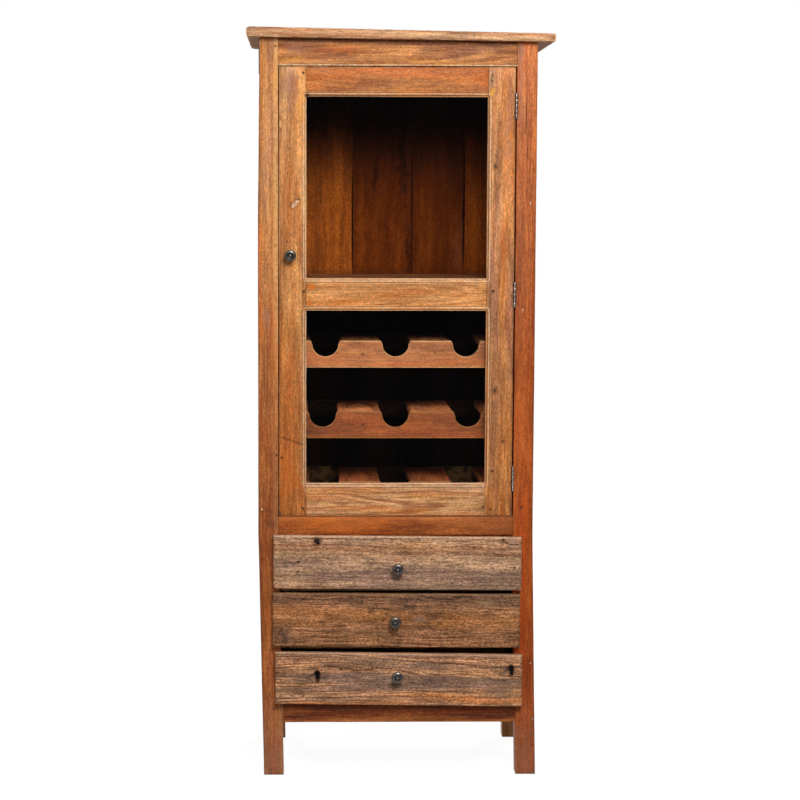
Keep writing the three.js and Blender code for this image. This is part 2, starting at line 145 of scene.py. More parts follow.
# %% [markdown]
# ## Notes for the materials
# A material cannot ask how long its board is or which of its edges are free. So each point carries
# notes: where it lies in the board, where the free edges are, a seed, and a tint: above 0 it makes
# the point paler, for rubbed places and painted light, and below 0 darker, for painted shade.
# Painted maps could hold the same, but these notes are exact and small, and one recipe then serves
# boards of any size.

# %% Notes on the points
def write_notes(mesh, grain, low, high, seed, tint=None):
    """Stores where each point lies in its board, and the board's free edges, for the materials."""
    count = len(grain)
    notes = {"grain": [c for g in grain for c in g], "low": list(low) * count, "high": list(high) * count}
    for name, values in notes.items():
        mesh.attributes.new(name, "FLOAT_VECTOR", "POINT").data.foreach_set("vector", values)
    mesh.attributes.new("seed", "FLOAT", "POINT").data.foreach_set("value", [seed] * count)
    if tint:
        mesh.attributes.new("tint", "FLOAT", "POINT").data.foreach_set("value", tint)


print("notes on every point: grain, low, high, seed, and on some tint")

# %% [markdown]
# ## From a mesh to a piece
# Each visible piece rides on one moving body, takes its finish from a material, and stands for
# solids of the CAD model. One helper says all of that, so that no piece stays behind when the door
# or a drawer moves. Faces are shaded smooth up to an angle, so that small roundings look soft and
# real corners sharp.

# %% Adding a piece
def new_object(name, data):
    """An object of the scene with the given mesh, lamp or camera."""
    made = bpy.data.objects.new(name, data)
    bpy.context.scene.collection.objects.link(made)
    return made


def new_mesh(name, work):
    """Ends the work on a mesh, so that an object can have it."""
    mesh = bpy.data.meshes.new(name)
    work.to_mesh(mesh)
    work.free()
    return mesh


def add_piece(name, mesh, body, slot, material, replaced=(), smooth_below=38.0):
    """Makes a piece of a mesh, and has it ride on its CAD body and stand for its CAD nodes."""
    mesh.materials.append(material)
    for face in mesh.polygons:
        face.use_smooth = True
    mesh.set_sharp_from_angle(angle=math.radians(smooth_below))
    piece = new_object(name, mesh)
    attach(piece, body)
    if replaced:
        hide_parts(*replaced)


def outward(mesh):
    """Turns all faces of a closed mesh outward."""
    work = bmesh.new()
    work.from_mesh(mesh)
    bmesh.ops.recalc_face_normals(work, faces=work.faces)
    work.to_mesh(mesh)
    work.free()


# %% [markdown]
# A board is two nets back to back, the front face and the rear face, joined along their rims. The
# faces only need the number of rows and columns, so they have a function of their own.

# %% Faces of a board
def net_faces(rows, columns):
    """The faces of two nets of points that lie back to back, and of the rim between them."""
    far = rows * columns
    faces = []
    for i in range(rows - 1):
        for j in range(columns - 1):
            a, b = i * columns + j, (i + 1) * columns + j
            faces.append((a, b, b + 1, a + 1))
            faces.append((far + a, far + a + 1, far + b + 1, far + b))
    rim = list(range(columns)) + [i * columns + columns - 1 for i in range(1, rows)]
    rim += [(rows - 1) * columns + j for j in range(columns - 2, -1, -1)]
    rim += [i * columns for i in range(rows - 2, 0, -1)]
    for a, b in zip(rim, rim[1:] + rim[:1]):
        faces.append((a, b, far + b, far + a))
    return faces


print("faces of a net of 3 by 4 points, doubled:", len(net_faces(3, 4)))

# %% [markdown]
# Near an edge the points sink along a quarter circle whose size drifts with a slow noise, as wear
# does. A bevel would be quicker, but it rounds every edge alike. A planed face is never quite flat
# and its rim never quite straight, so two more noises move the points by a fraction of a millimetre.

# %% Wear of a board
WEAR_WAVES = (38, 31)
WEAR_DRIFT = 0.3
PLANE_WAVES = (7, 26)
RIM_WAVES = 13


def sunk_by_wear(u, v, side, half, radii, seed):
    """How deep a point lies below its face, because the edges near it are rounded."""
    ragged = noise.noise(Vector((u * WEAR_WAVES[0], v * WEAR_WAVES[1] + side * 9, seed)))
    sink = 0.0
    for room, radius in zip((u + half[0], half[0] - u, v + half[1], half[1] - v), radii):
        worn = radius * (1.0 + WEAR_DRIFT * ragged)
        if room < worn:
            sink = max(sink, worn - math.sqrt(max(0.0, worn**2 - (worn - room) ** 2)))
    return sink


def planed_off(u, v, seed):
    """A share from 0 to 1 of the planed face's roughness."""
    return 0.5 + 0.5 * noise.noise(Vector((u * PLANE_WAVES[0], v * PLANE_WAVES[1], seed + 5)))


def pulled_in(u, v, seed):
    """A share of the roughness by which the left and right rims waver."""
    return 0.8 + 0.8 * noise.noise(Vector((u * RIM_WAVES, seed, math.copysign(3, v))))


print("a 2 mm edge sinks by %.2f mm at its rim" % (1000 * sunk_by_wear(
    0.1, 0.0, -1, (0.1, 0.1), (0.002,) * 4, 0.0)))

# %% [markdown]
# Each board gets its own seed, so no two have the same wear or grain. A depth function can cut a
# moulding or a rebate into a face, and a place function can lean or bend the finished board.

# %% A sawn board
JOINED = 1.0
CRISP = 0.0004
EDGE = 0.0022
board_count = 0


def next_seed():
    global board_count
    board_count += 1
    return board_count * 1.37


def board(name, low, high, axes, body, slot, material, replaced=(), edge=EDGE, edges=None, snug="",
          step=0.022, rough=0.00025, relief=None, rebate=None, tint=None, place=None, lines=((), ())):
    """
    A board between two corners. Axes names the directions along, across and through it.
    Edges are the rounding at its start, end, left and right, and snug names the sides that butt
    another board (s, e, l, r), which stay crisp and unworn. Relief and rebate give a depth below
    the front and the rear face, and tint a paler share (above 0), for rubbed places and painted
    light, and a darker one (below 0), for painted shade.
    """
    seed = next_seed()
    order = ["xyz".index(a) for a in axes]
    centre = [(low[k] + high[k]) / 2 for k in order]
    half = [(high[k] - low[k]) / 2 for k in order]
    radii = [min(radius, 0.75 * half[2]) for radius in edges or (edge,) * 4]
    radii = [CRISP if side in snug else radius for side, radius in zip("selr", radii)]
    along = stops(half[0], radii[0], radii[1], step, lines[0])
    across = stops(half[1], radii[2], radii[3], step, lines[1])
    points, grain, tints = [], [], []
    for side in (-1, 1):
        for u in along:
            for v in across:
                sink = sunk_by_wear(u, v, side, half, radii, seed)
                if side < 0:
                    sink += rough * planed_off(u, v, seed)
                shape = relief if side < 0 else rebate
                if shape:
                    sink = max(sink, shape(centre[0] + u, centre[1] + v))
                pull = 0.0
                if min(v + half[1], half[1] - v) < max(radii[2:]) * 0.5:
                    pull = rough * pulled_in(u, v, seed)
                local = (u, v - math.copysign(pull, v), side * (half[2] - sink))
                point = Vector()
                for k, c, value in zip(order, centre, local):
                    point[k] = c + value
                points.append(place(point) if place else point)
                grain.append(local)
                tints.append(tint(centre[0] + u, centre[1] + v) if tint and side < 0 else 0.0)
    mesh = bpy.data.meshes.new(name)
    mesh.from_pydata(points, [], net_faces(len(along), len(across)))
    outward(mesh)
    free_low = [-half[0] - JOINED * ("s" in snug), -half[1] - JOINED * ("l" in snug), -half[2]]
    free_high = [half[0] + JOINED * ("e" in snug), half[1] + JOINED * ("r" in snug), half[2]]
    write_notes(mesh, grain, free_low, free_high, seed, tints)
    add_piece(name, mesh, body, slot, material, replaced)


print("a snug edge is %.1f mm round, others about %.1f mm" % (CRISP * 1000, EDGE * 1000))

# %% [markdown]
# The rack rails are notched, and the shelves fit round the posts. Their outline is given as points,
# drawn out to a slab, and bevelled. A narrow band inside the bevel is tinted, because a sawn curve
# is rubbed pale along its rim.

# %% Boards with a shaped outline
RIM_BAND = 0.0012


def shaped_board(name, outline, first, last, axes, body, slot, material, replaced=(), edge=0.001,
                 rim=RIM_BAND, rubbed=0.0):
    """A slab whose outline is given along and across, reaching through from first to last."""
    seed = next_seed()
    order = ["xyz".index(a) for a in axes]
    work = bmesh.new()
    layer = work.verts.layers.float.new("tint")

    def corner(u, v, t):
        point = Vector()
        for k, value in zip(order, (u, v, t)):
            point[k] = value
        return work.verts.new(point)

    rings = [[corner(u, v, t) for u, v in outline] for t in (first, last)]
    caps = [work.faces.new(rings[0]), work.faces.new(rings[1][::-1])]
    for i in range(len(outline)):
        j = (i + 1) % len(outline)
        work.faces.new((rings[0][j], rings[0][i], rings[1][i], rings[1][j]))
    rims = [e for cap in caps for e in cap.edges]
    bmesh.ops.bevel(work, geom=rims, offset=edge, segments=2, profile=0.6, affect="EDGES")
    caps = sorted(work.faces, key=lambda f: len(f.verts))[-2:]
    bmesh.ops.inset_individual(work, faces=caps, thickness=rim, use_even_offset=True)
    bmesh.ops.recalc_face_normals(work, faces=work.faces)
    inner = {v for cap in caps for v in cap.verts}
    for vertex in work.verts:
        vertex[layer] = 0.0 if vertex in inner else rubbed
    mesh = new_mesh(name, work)
    us, vs = zip(*outline)
    centre = [(min(us) + max(us)) / 2, (min(vs) + max(vs)) / 2, (first + last) / 2]
    half = [(max(us) - min(us)) / 2, (max(vs) - min(vs)) / 2, abs(last - first) / 2]
    grain = [[vertex.co[k] - c for k, c in zip(order, centre)] for vertex in mesh.vertices]
    write_notes(mesh, grain, [-h for h in half], half, seed)
    add_piece(name, mesh, body, slot, material, replaced)


print("rubbed band along a sawn curve: %.1f mm" % (RIM_BAND * 1000))

# %% [markdown]
# ## Colours
# A colour is easiest to judge as it looks on a screen, from 0 to 255, but Blender counts light in
# linear numbers. So each tone is written as it looks and is turned into linear light.

# %% Tones
def tone(red, green, blue):
    """A colour as it looks on a screen, 0 to 255, turned into Blender's linear light."""
    values = [c / 255 for c in (red, green, blue)]
    return tuple(c / 12.92 if c < 0.04045 else ((c + 0.055) / 1.055) ** 2.4 for c in values) + (1.0,)


def lighter(colour, by):
    """Multiplies a colour's red, green and blue, by one number or by three."""
    shares = by if isinstance(by, tuple) else (by, by, by)
    return tuple(min(1.0, c * share) for c, share in zip(colour, shares)) + (1.0,)


def in_light(colour):
    """Turns a colour of three screen numbers into linear light, and leaves any other as it is."""
    return tone(*colour) if colour and len(colour) == 3 else colour


print("honey brown in linear light:", [round(c, 3) for c in tone(157, 83, 35)])

# %% [markdown]
# ## Tools for the materials
# A procedural material is a small graph of nodes. It can be clicked together by hand, but written
# down it can be read and repeated. This helper keeps that short: it adds a node, fills its sockets
# with values or other nodes' outputs, and returns the new output.

# %% A helper for node graphs
class Graph:
    def __init__(self, tree):
        self.tree = tree

    def add(self, kind, inputs=None, **settings):
        node = self.tree.nodes.new(kind)
        for key, value in settings.items():
            setattr(node, key, value)
        for key, value in (inputs or {}).items():
            self.put(value, node.inputs[key])
        return node

    def put(self, value, socket):
        if isinstance(value, bpy.types.NodeSocket):
            self.tree.links.new(value, socket)
        elif value is not None:
            socket.default_value = value

    def math(self, operation, a, b=None, c=None, clamp=False):
        node = self.add("ShaderNodeMath", operation=operation, use_clamp=clamp)
        for value, socket in zip((a, b, c), node.inputs):
            self.put(value, socket)
        return node.outputs[0]

    def plus(self, a, b):
        return self.math("ADD", a, b)

    def minus(self, a, b):
        return self.math("SUBTRACT", a, b)

    def times(self, a, b):
        return self.math("MULTIPLY", a, b)

    def times_plus(self, a, b, c):
        return self.math("MULTIPLY_ADD", a, b, c)

    def vector(self, operation, a, b=None):
        node = self.add("ShaderNodeVectorMath", operation=operation)
        for value, socket in zip((a, b), node.inputs):
            self.put(value, socket)
        return node.outputs["Value" if operation == "LENGTH" else "Vector"]

    def noise(self, vector, scale=1.0, detail=2.0, roughness=0.5, distortion=0.0):
        return self.add("ShaderNodeTexNoise", {
            "Vector": vector, "Scale": scale, "Detail": detail, "Roughness": roughness,
            "Distortion": distortion}).outputs[0]

    def smooth(self, value, low, high, first=0.0, last=1.0):
        """Rises smoothly from first to last while the value goes from low to high."""
        node = self.add("ShaderNodeMapRange", interpolation_type="SMOOTHSTEP")
        for socket, number in zip(node.inputs, (value, low, high, first, last)):
            self.put(number, socket)
        return node.outputs[0]

    def mix(self, amount, a, b, blend="MIX"):
        node = self.add("ShaderNodeMix", data_type="RGBA", blend_type=blend)
        self.put(amount, node.inputs[0])
        self.put(a, node.inputs[6])
        self.put(b, node.inputs[7])
        return node.outputs[2]

    def shade(self, amount, colour, by):
        """Multiplies a colour by a darker one, by an amount."""
        return self.mix(amount, colour, self.mix(1.0, colour, by, "MULTIPLY"))

    def split(self, vector):
        return self.add("ShaderNodeSeparateXYZ", {0: vector}).outputs

    def join(self, x, y, z):
        return self.add("ShaderNodeCombineXYZ", {0: x, 1: y, 2: z}).outputs[0]

    def note(self, name, output="Vector"):
        """Reads what write_notes stored on the points."""
        return self.add("ShaderNodeAttribute", attribute_name=name).outputs[output]

    def place(self, group, inputs):
        node = self.tree.nodes.new("ShaderNodeGroup")
        node.node_tree = group
        for key, value in inputs.items():
            self.put(value, node.inputs[key])
        return node.outputs

    def show(self, shader):
        """Joins the last shader to the material's output."""
        self.put(shader.outputs[0], self.tree.nodes["Material Output"].inputs["Surface"])


print("words of a graph:", [name for name in vars(Graph) if name[0] != "_"])

# %% [markdown]
# An effect that several materials share is built once, as a node group with named inputs and
# outputs, and placed in each of them with its own values. A material starts from Blender's
# all-round shader, the Principled BSDF, and only its sockets change from wood to metal and glass.

# %% New groups and new materials
def new_group(name, inputs, outputs):
    """A shader node group with named inputs and outputs, still empty inside."""
    tree = bpy.data.node_groups.new(name, "ShaderNodeTree")
    for label, default in inputs.items():
        kind = "NodeSocketVector" if isinstance(default, tuple) else "NodeSocketFloat"
        tree.interface.new_socket(label, in_out="INPUT", socket_type=kind).default_value = default
    for label in outputs:
        kind = "NodeSocketVector" if label == "Bent" else "NodeSocketFloat"
        tree.interface.new_socket(label, in_out="OUTPUT", socket_type=kind)
    print("group", name, "gives", ", ".join(outputs))
    graph = Graph(tree)
    return graph, graph.add("NodeGroupInput").outputs, graph.add("NodeGroupOutput").inputs


def new_material(name):
    """A material, the graph that it is drawn in, and its shader."""
    material = bpy.data.materials.new(name)
    material.use_nodes = True
    graph = Graph(material.node_tree)
    return material, graph, graph.tree.nodes["Principled BSDF"]


print("materials from the CAD model:", len(bpy.data.materials))

# %% [markdown]
# ## Grain as slices through a tree
# Painted stripes never look like wood, because real grain is where the saw cut through the tree's
# rings. This group works out how far each point lies from the heart of the log, and lets a noise
# along that distance stand for the years. Where the board runs slightly across the log, the rings
# show as long arches. Fibres, short dark vessels, fine speckle and broad streaks of colour are
# noises that are stretched along the board.

# %% Group: board grain
# For each layer: waves per metre along and across the board, detail and roughness of the noise
GRAIN_LAYERS = {
    "Fibre": (14.0, 250.0, 3.0, 0.62),
    "Vessels": (95.0, 330.0, 2.0, 0.6),
    "Streaks": (1.5, 22.0, 3.0, 0.6),
    "Tinge": (6.0, 42.0, 4.0, 0.65),
    "Mottle": (12.0, 34.0, 4.0, 0.65),
    "Strokes": (60.0, 300.0, 3.0, 0.7),
    "Dots": (190.0, 340.0, 3.0, 0.7),
}


def make_grain():
    g, i, o = new_group("board grain", {
        "Position": (0.0, 0.0, 0.0), "Seed": 0.0, "Rings per metre": 230.0, "Heart": 0.05, "Shift": 0.0,
        "Taper": 0.05, "Wander": 0.01},
        ["Rings", "Fibre", "Vessels", "Streaks", "Tinge", "Mottle", "Speckle"])
    seed = i["Seed"]
    offset = g.join(g.times(seed, 3.71), g.times(seed, 1.93), seed)
    slow = g.vector("MULTIPLY", g.vector("ADD", i["Position"], offset), (2.6, 9.0, 9.0))
    bend = g.times(g.minus(g.noise(slow), 0.5), i["Wander"])
    x, y, z = g.split(i["Position"])[:3]
    across = g.plus(g.minus(y, i["Shift"]), g.times(bend, 2.0))
    depth = g.plus(g.plus(z, i["Heart"]), g.times_plus(x, i["Taper"], bend))
    radius = g.vector("LENGTH", g.join(across, depth, 0.0))
    years = g.times_plus(radius, i["Rings per metre"], seed)
    rings = g.add("ShaderNodeTexNoise", {"W": years, "Scale": 1.0, "Detail": 2.0}, noise_dimensions="1D")
    g.put(g.smooth(rings.outputs[0], 0.3, 0.7), o["Rings"])
    flow = g.vector("ADD", g.join(x, g.plus(y, bend), z), offset)

    def layer(name):
        """A noise that is stretched along the board."""
        waves_along, waves_across, detail, roughness = GRAIN_LAYERS[name]
        waves = (waves_along, waves_across, waves_across)
        return g.noise(g.vector("MULTIPLY", flow, waves), 1.0, detail, roughness)

    g.put(g.smooth(layer("Fibre"), 0.3, 0.7), o["Fibre"])
    g.put(g.smooth(layer("Vessels"), 0.55, 0.69), o["Vessels"])
    for name in ("Streaks", "Tinge", "Mottle"):
        g.put(layer(name), o[name])
    speckle = g.times_plus(layer("Dots"), 1.5, g.times(layer("Strokes"), 0.7))
    g.put(g.smooth(speckle, 0.8, 1.4), o["Speckle"])
    return g.tree


GRAIN = make_grain()

# %% [markdown]
# ## Worn edges
# Corners of old boards lose their finish first, and dirt stays beside them. On the surface of a
# box, the smallest distance to a side is zero, so the middle one of the three distances says how
# near the closest edge is. That gives wear and grime from the board's own notes, at any size.

# %% Group: board edges
def make_edges():
    g, i, o = new_group("board edges", {
        "Position": (0.0, 0.0, 0.0), "Low": (-1.0, -1.0, -1.0), "High": (1.0, 1.0, 1.0), "Seed": 0.0,
        "Width": 0.003}, ["Wear", "Grime"])
    room = g.vector("MINIMUM", g.vector("SUBTRACT", i["Position"], i["Low"]),
                    g.vector("SUBTRACT", i["High"], i["Position"]))
    a, b, c = g.split(room)[:3]
    inner = g.math("MINIMUM", g.math("MAXIMUM", a, b), c)
    middle = g.math("MAXIMUM", g.math("MINIMUM", a, b), inner)
    shifted = g.vector("ADD", i["Position"], g.join(i["Seed"], i["Seed"], i["Seed"]))
    rag = g.noise(shifted, 60.0, 4.0, 0.7)
    reach = g.times(i["Width"], g.smooth(rag, 0.35, 0.7, 0.2, 1.6))
    g.put(g.smooth(g.math("DIVIDE", middle, reach), 0.35, 1.0, 1.0, 0.0), o["Wear"])
    wide = g.times(i["Width"], g.smooth(rag, 0.3, 0.7, 1.5, 6.0))
    g.put(g.smooth(g.math("DIVIDE", middle, wide), 0.0, 1.0, 1.0, 0.0), o["Grime"])
    return g.tree


EDGES = make_edges()

# %% [markdown]
# ## Knots
# A knot is where a branch began, and the grain parts round it. A dark spot alone would look stuck
# on, so the group also returns a bent position. The grain is looked up there, and so flows round
# the knot.

# %% Group: knot
def make_knot():
    g, i, o = new_group("knot", {
        "Position": (0.0, 0.0, 0.0), "Centre": (0.0, 0.0, 0.0), "Radius": 0.006}, ["Mask", "Rim", "Bent"])
    x, y, z = g.split(g.vector("SUBTRACT", i["Position"], i["Centre"]))[:3]
    rag = g.minus(g.noise(i["Position"], 240.0), 0.5)
    distance = g.vector("LENGTH", g.join(g.times(x, 0.62), y, 0.0))
    share = g.times_plus(rag, 0.8, g.math("DIVIDE", distance, i["Radius"]))
    g.put(g.smooth(share, 0.55, 1.0, 1.0, 0.0), o["Mask"])
    g.put(g.times(g.smooth(share, 0.7, 1.05), g.smooth(share, 1.05, 2.2, 1.0, 0.0)), o["Rim"])
    pull = g.smooth(share, 0.4, 4.0, 0.75, 0.0)
    px, py, pz = g.split(i["Position"])[:3]
    g.put(g.join(px, g.minus(py, g.times(y, pull)), pz), o["Bent"])
    return g.tree


KNOT = make_knot()

# %% [markdown]
# ## Holes, cracks and repairs
# Nail holes, cracks, chips and filler are all spots with a ragged rim: round for a hole, long and
# thin for a crack. One group gives the spot's mask, a halo for the dirt round it, and a soft patch
# without a rim, for places where a board is stained or of another colour.

# %% Group: spot
def make_spot():
    g, i, o = new_group("spot", {
        "Position": (0.0, 0.0, 0.0), "Centre": (0.0, 0.0, 0.0), "Size": (0.002, 0.002, 1.0),
        "Ragged": 0.4}, ["Mask", "Halo", "Patch"])
    offset = g.vector("DIVIDE", g.vector("SUBTRACT", i["Position"], i["Centre"]), i["Size"])
    x, y, z = g.split(offset)[:3]
    rag = g.times(g.minus(g.noise(i["Position"], 330.0, 3.0), 0.5), i["Ragged"])
    drift = g.times(g.minus(g.noise(i["Position"], 45.0), 0.5), i["Ragged"])
    distance = g.vector("LENGTH", g.join(x, g.times_plus(drift, 4.0, y), 0.0))
    share = g.times_plus(rag, 2.0, distance)
    g.put(g.smooth(share, 0.75, 1.05, 1.0, 0.0), o["Mask"])
    g.put(g.smooth(share, 0.9, 2.6, 1.0, 0.0), o["Halo"])
    g.put(g.smooth(share, 0.1, 1.3, 1.0, 0.0), o["Patch"])
    return g.tree


SPOT = make_spot()

# %% [markdown]
# The marks of the cabinet are of a few kinds. Each kind has its ink, the strength of the dark halo
# round it, how ragged its rim is, and how deep it sinks, where below zero stands proud of the wood.
# Patches have no rim, so a kind of patch is only a colour.

# %% Kinds of marks
DIRT = (0.42, 0.32, 0.25, 1.0)
# The shade tone darkens the colour where a tint is below 0: painted shade.
SOOT = (0.22, 0.14, 0.10, 1.0)
GOLD = (1.0, 0.94, 0.60, 1.0)
ROSE = (0.90, 0.78, 0.86, 1.0)
# The near-black inks of holes and seams are painted shade: the dark inside of a hole and of an open gap.
MARKS = {
    "nail": (tone(34, 18, 10), 0.6, 0.3, 1.0),
    "hole": (tone(4, 2, 1), 0.8, 0.25, 2.0),
    "knot": (tone(52, 26, 14), 0.5, 0.5, 0.6),
    "putty": (tone(224, 118, 26), 0.3, 0.3, -0.3),
    "filler": (tone(232, 162, 60), 0.3, 0.3, -0.3),
    "chip": (tone(226, 170, 112), 0.7, 0.4, 0.7),
    "flake": (tone(234, 188, 150), 0.3, 0.3, 0.4),
    "crack": (tone(30, 12, 6), 0.45, 0.35, 1.4),
    "scratch": (tone(226, 190, 160), 0.0, 0.5, 0.3),
    "seam": (tone(8, 2, 1), 0.0, 0.12, 1.5),
}
# Of the patches, the two near-black ones are painted shade, and the brown one for the lowest batten is
# painted light; the rest are the wood's own colours.
PATCHES = {
    "stain": tone(58, 48, 42),
    "soot": tone(13, 1, 0),
    "shade": tone(13, 1, 0),
    "moss": tone(140, 104, 56),
    "grey": tone(150, 122, 104),
    "mauve": tone(176, 120, 98),
    "bleach": tone(226, 180, 130),
    "orange": tone(214, 104, 20),
    "yellow": tone(236, 160, 62),
    "dust": tone(196, 150, 124),
}
print("marks:", ", ".join(MARKS), "and patches:", ", ".join(PATCHES))

# %% [markdown]
# A mark is written as its kind, its place along and across the board in metres, measured on the
# whole cabinet, its half length and half width, and the share to which it shows. Photographs could
# be projected on the boards instead, but marks like these stay sharp from near and from the side.

# %% Laying marks on a board
def spot_place(mark_along, mark_across, centre):
    """A place on the cabinet, as seen from the middle of its board."""
    return (mark_along - centre[0], mark_across - centre[1], 0.0)


def add_marks(g, position, colour, height, marks, centre):
    """Lays holes, cracks, repairs and patches over a wood's colour, and sinks the deep ones."""
    for kind, along, across, size, *more in marks:
        wide, tall = size if isinstance(size, tuple) else (size, size)
        share = more[0] if more else 0.95
        if kind in PATCHES:
            ragged = 0.06 if kind == "shade" else 0.9
        else:
            ink, halo, ragged, deep = MARKS[kind]
        out = g.place(SPOT, {"Position": position, "Centre": spot_place(along, across, centre),
                             "Size": (wide, tall, 1.0), "Ragged": ragged})
        if kind in PATCHES:
            colour = g.mix(g.times(out["Patch"], share), colour, PATCHES[kind])
            continue
        colour = g.shade(g.times(out["Halo"], halo * share), colour, DIRT)
        colour = g.mix(g.times(out["Mask"], share), colour, ink)
        height = g.times_plus(out["Mask"], -deep, height)
    return colour, height


def part_round_knots(g, position, knots, centre):
    """Bends the place where the grain is looked up, and returns it with each knot's masks."""
    branches = []
    for along, across, size in knots:
        branches.append(g.place(KNOT, {"Position": position, "Centre": spot_place(along, across, centre),
                                       "Radius": size}))
        position = branches[-1]["Bent"]
    return position, branches


print("the left post is laid out about x = %.3f m" % (BODY_LEFT + POST / 2))

# %% [markdown]
# ## Age
# Old boards have been waxed and handled for years. Dirt sits beside their free edges, and the edges
# are worn pale. The tint that the points carry adds rubbed places, painted light and painted shade.
# A noise breaks that tint up, so that no pale or dark line is even.

# %% Wear, dirt, painted light and shade, and polish
def aged(g, position, seed, colour, pale, wear, wear_width, grime):
    """Adds dirt, pale edges and the tint's rubbed places, painted light and painted shade, and returns the
    colour and the share of pale edge.
    """
    rim = g.place(EDGES, {"Position": position, "Low": g.note("low"), "High": g.note("high"), "Seed": seed,
                          "Width": wear_width})
    colour = g.shade(g.times(rim["Grime"], grime), colour, DIRT)
    colour = g.mix(g.times(rim["Wear"], wear), colour, pale)
    broken = g.smooth(g.noise(position, 150.0, 3.0, 0.65), 0.38, 0.6, 0.45, 1.1)
    tint = g.times(g.note("tint", "Fac"), broken)
    colour = g.mix(tint, colour, pale)
    # Below 0 the tint darkens the colour as painted shade.
    return g.shade(g.times(tint, -1.0), colour, SOOT), rim["Wear"]


def waxed(g, shader, out, worn_off, height, roughness, bump, specular, coat):
    """Sets how the surface shines: fibres a little glossier, vessels and edges that lost their finish
    duller.
    """
    polish = g.times_plus(out["Fibre"], -0.1, roughness + 0.08)
    polish = g.times_plus(out["Vessels"], 0.15, polish)
    g.put(g.math("MULTIPLY_ADD", worn_off, 0.08, polish, clamp=True), shader.inputs["Roughness"])
    relief = g.add("ShaderNodeBump", {"Height": height, "Strength": bump, "Distance": 0.0007})
    g.put(relief.outputs[0], shader.inputs["Normal"])
    shader.inputs["Specular IOR Level"].default_value = specular
    shader.inputs["Coat Weight"].default_value = coat
    shader.inputs["Coat Roughness"].default_value = 0.4


print("dirt darkens a colour to", DIRT[:3], "and soot to", SOOT[:3])

# %% [markdown]
# ## One recipe for all the woods
# Each board of the real cabinet came from somewhere else. One function mixes every wood: a dark and
# a light tone set by rings and fibres, streaks in two further tones, a golden and a rosy tinge,
# vessels and speckle, then knots, age, painted light and shade, and marks. A board may be painted
# darker along its length, as painted shade (its fade), and may be raw and paler on the face that
# looks away from the door (outside).

# %% Recipe: reclaimed wood
def wood(name, dark, light, warm=None, cool=None, warm_share=0.5, cool_share=0.4, rings=230.0, heart=0.05,
         shift=0.0, taper=0.05, wander=0.012, ring_share=0.5, contrast=1.0, vessels=0.5, speckle=0.30,
         tinge=0.5, mottle=0.16, worn=None, wear=0.5, wear_width=0.0016, grime=0.45, roughness=0.5,
         coat=0.03, bump=0.4, specular=0.25, fade=None, knots=(), marks=(), centre=(0.0, 0.0), outside=None):
    dark, light, warm, cool, worn, outside = map(in_light, (dark, light, warm, cool, worn, outside))
    material, g, shader = new_material(name)
    position = g.note("grain")
    seed = g.note("seed", "Fac")
    flow, branches = part_round_knots(g, position, knots, centre)
    out = g.place(GRAIN, {"Position": flow, "Seed": seed, "Rings per metre": rings, "Heart": heart,
                          "Shift": shift, "Taper": taper, "Wander": wander})
    figure = g.times_plus(out["Rings"], ring_share, g.times(out["Fibre"], 1 - ring_share))
    spread = 0.66 / contrast
    colour = g.mix(g.smooth(figure, 0.5 - spread, 0.5 + spread), dark, light)
    if warm:
        colour = g.mix(g.smooth(out["Streaks"], 0.50, 0.62, 0.0, warm_share), colour, warm)
    if cool:
        colour = g.mix(g.smooth(out["Streaks"], 0.49, 0.38, 0.0, cool_share), colour, cool)
    colour = g.shade(g.smooth(out["Tinge"], 0.50, 0.60, 0.0, tinge), colour, GOLD)
    colour = g.shade(g.smooth(out["Tinge"], 0.50, 0.40, 0.0, tinge), colour, ROSE)
    shade = g.smooth(out["Mottle"], 0.34, 0.66, 1 - mottle, 1 + mottle)
    shade = g.times(shade, g.times_plus(out["Speckle"], 2 * speckle, 1 - speckle))
    colour = g.mix(1.0, colour, g.join(shade, shade, shade), "MULTIPLY")
    colour = g.shade(g.times(out["Vessels"], vessels), colour, DIRT)
    weathered = colour
    # The fade is painted shade: the colour darkens from one place along the board to another.
    if fade:
        first, last, by = fade
        along = g.split(position)[0]
        colour = g.shade(g.smooth(along, first - centre[0], last - centre[0]), colour, by)
    for branch in branches:
        colour = g.shade(g.times(branch["Rim"], 0.6), colour, DIRT)
        colour = g.mix(g.times(branch["Mask"], 0.85), colour, MARKS["knot"][0])
    # The pale tone serves worn edges and also the tint's rubbed places and painted light.
    colour, worn_off = aged(g, position, seed, colour, worn or lighter(light, 1.25), wear, wear_width, grime)
    height = g.times_plus(out["Rings"], 0.35, g.times(out["Fibre"], 0.5))
    height = g.times_plus(out["Vessels"], -0.6, height)
    colour, height = add_marks(g, position, colour, height, marks, centre)
    if outside:
        away = g.smooth(g.split(position)[2], -0.001, 0.001)
        bare = g.mix(g.smooth(figure, 0.15, 0.85), lighter(outside, 0.80), lighter(outside, 1.14))
        colour = g.mix(away, colour, g.mix(0.6, weathered, bare))
    g.put(colour, shader.inputs["Base Color"])
    waxed(g, shader, out, worn_off, height, roughness, bump, specular, coat)
    print("%s: %d nodes" % (name, len(g.tree.nodes)))
    return material


print("settings of the recipe:", wood.__code__.co_argcount)

# %% [markdown]
# The left post is honey brown and the right one redder, and both are painted darker toward the
# floor, as painted shade where less lamp light reaches them. Their nails, cracks and scratches are
# listed at their places on the cabinet, so that each sits on its own board.

# %% Woods of the posts
def middle_of(node, axes):
    low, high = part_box(node)
    order = ["xyz".index(a) for a in axes]
    return [(low[k] + high[k]) / 2 for k in order]


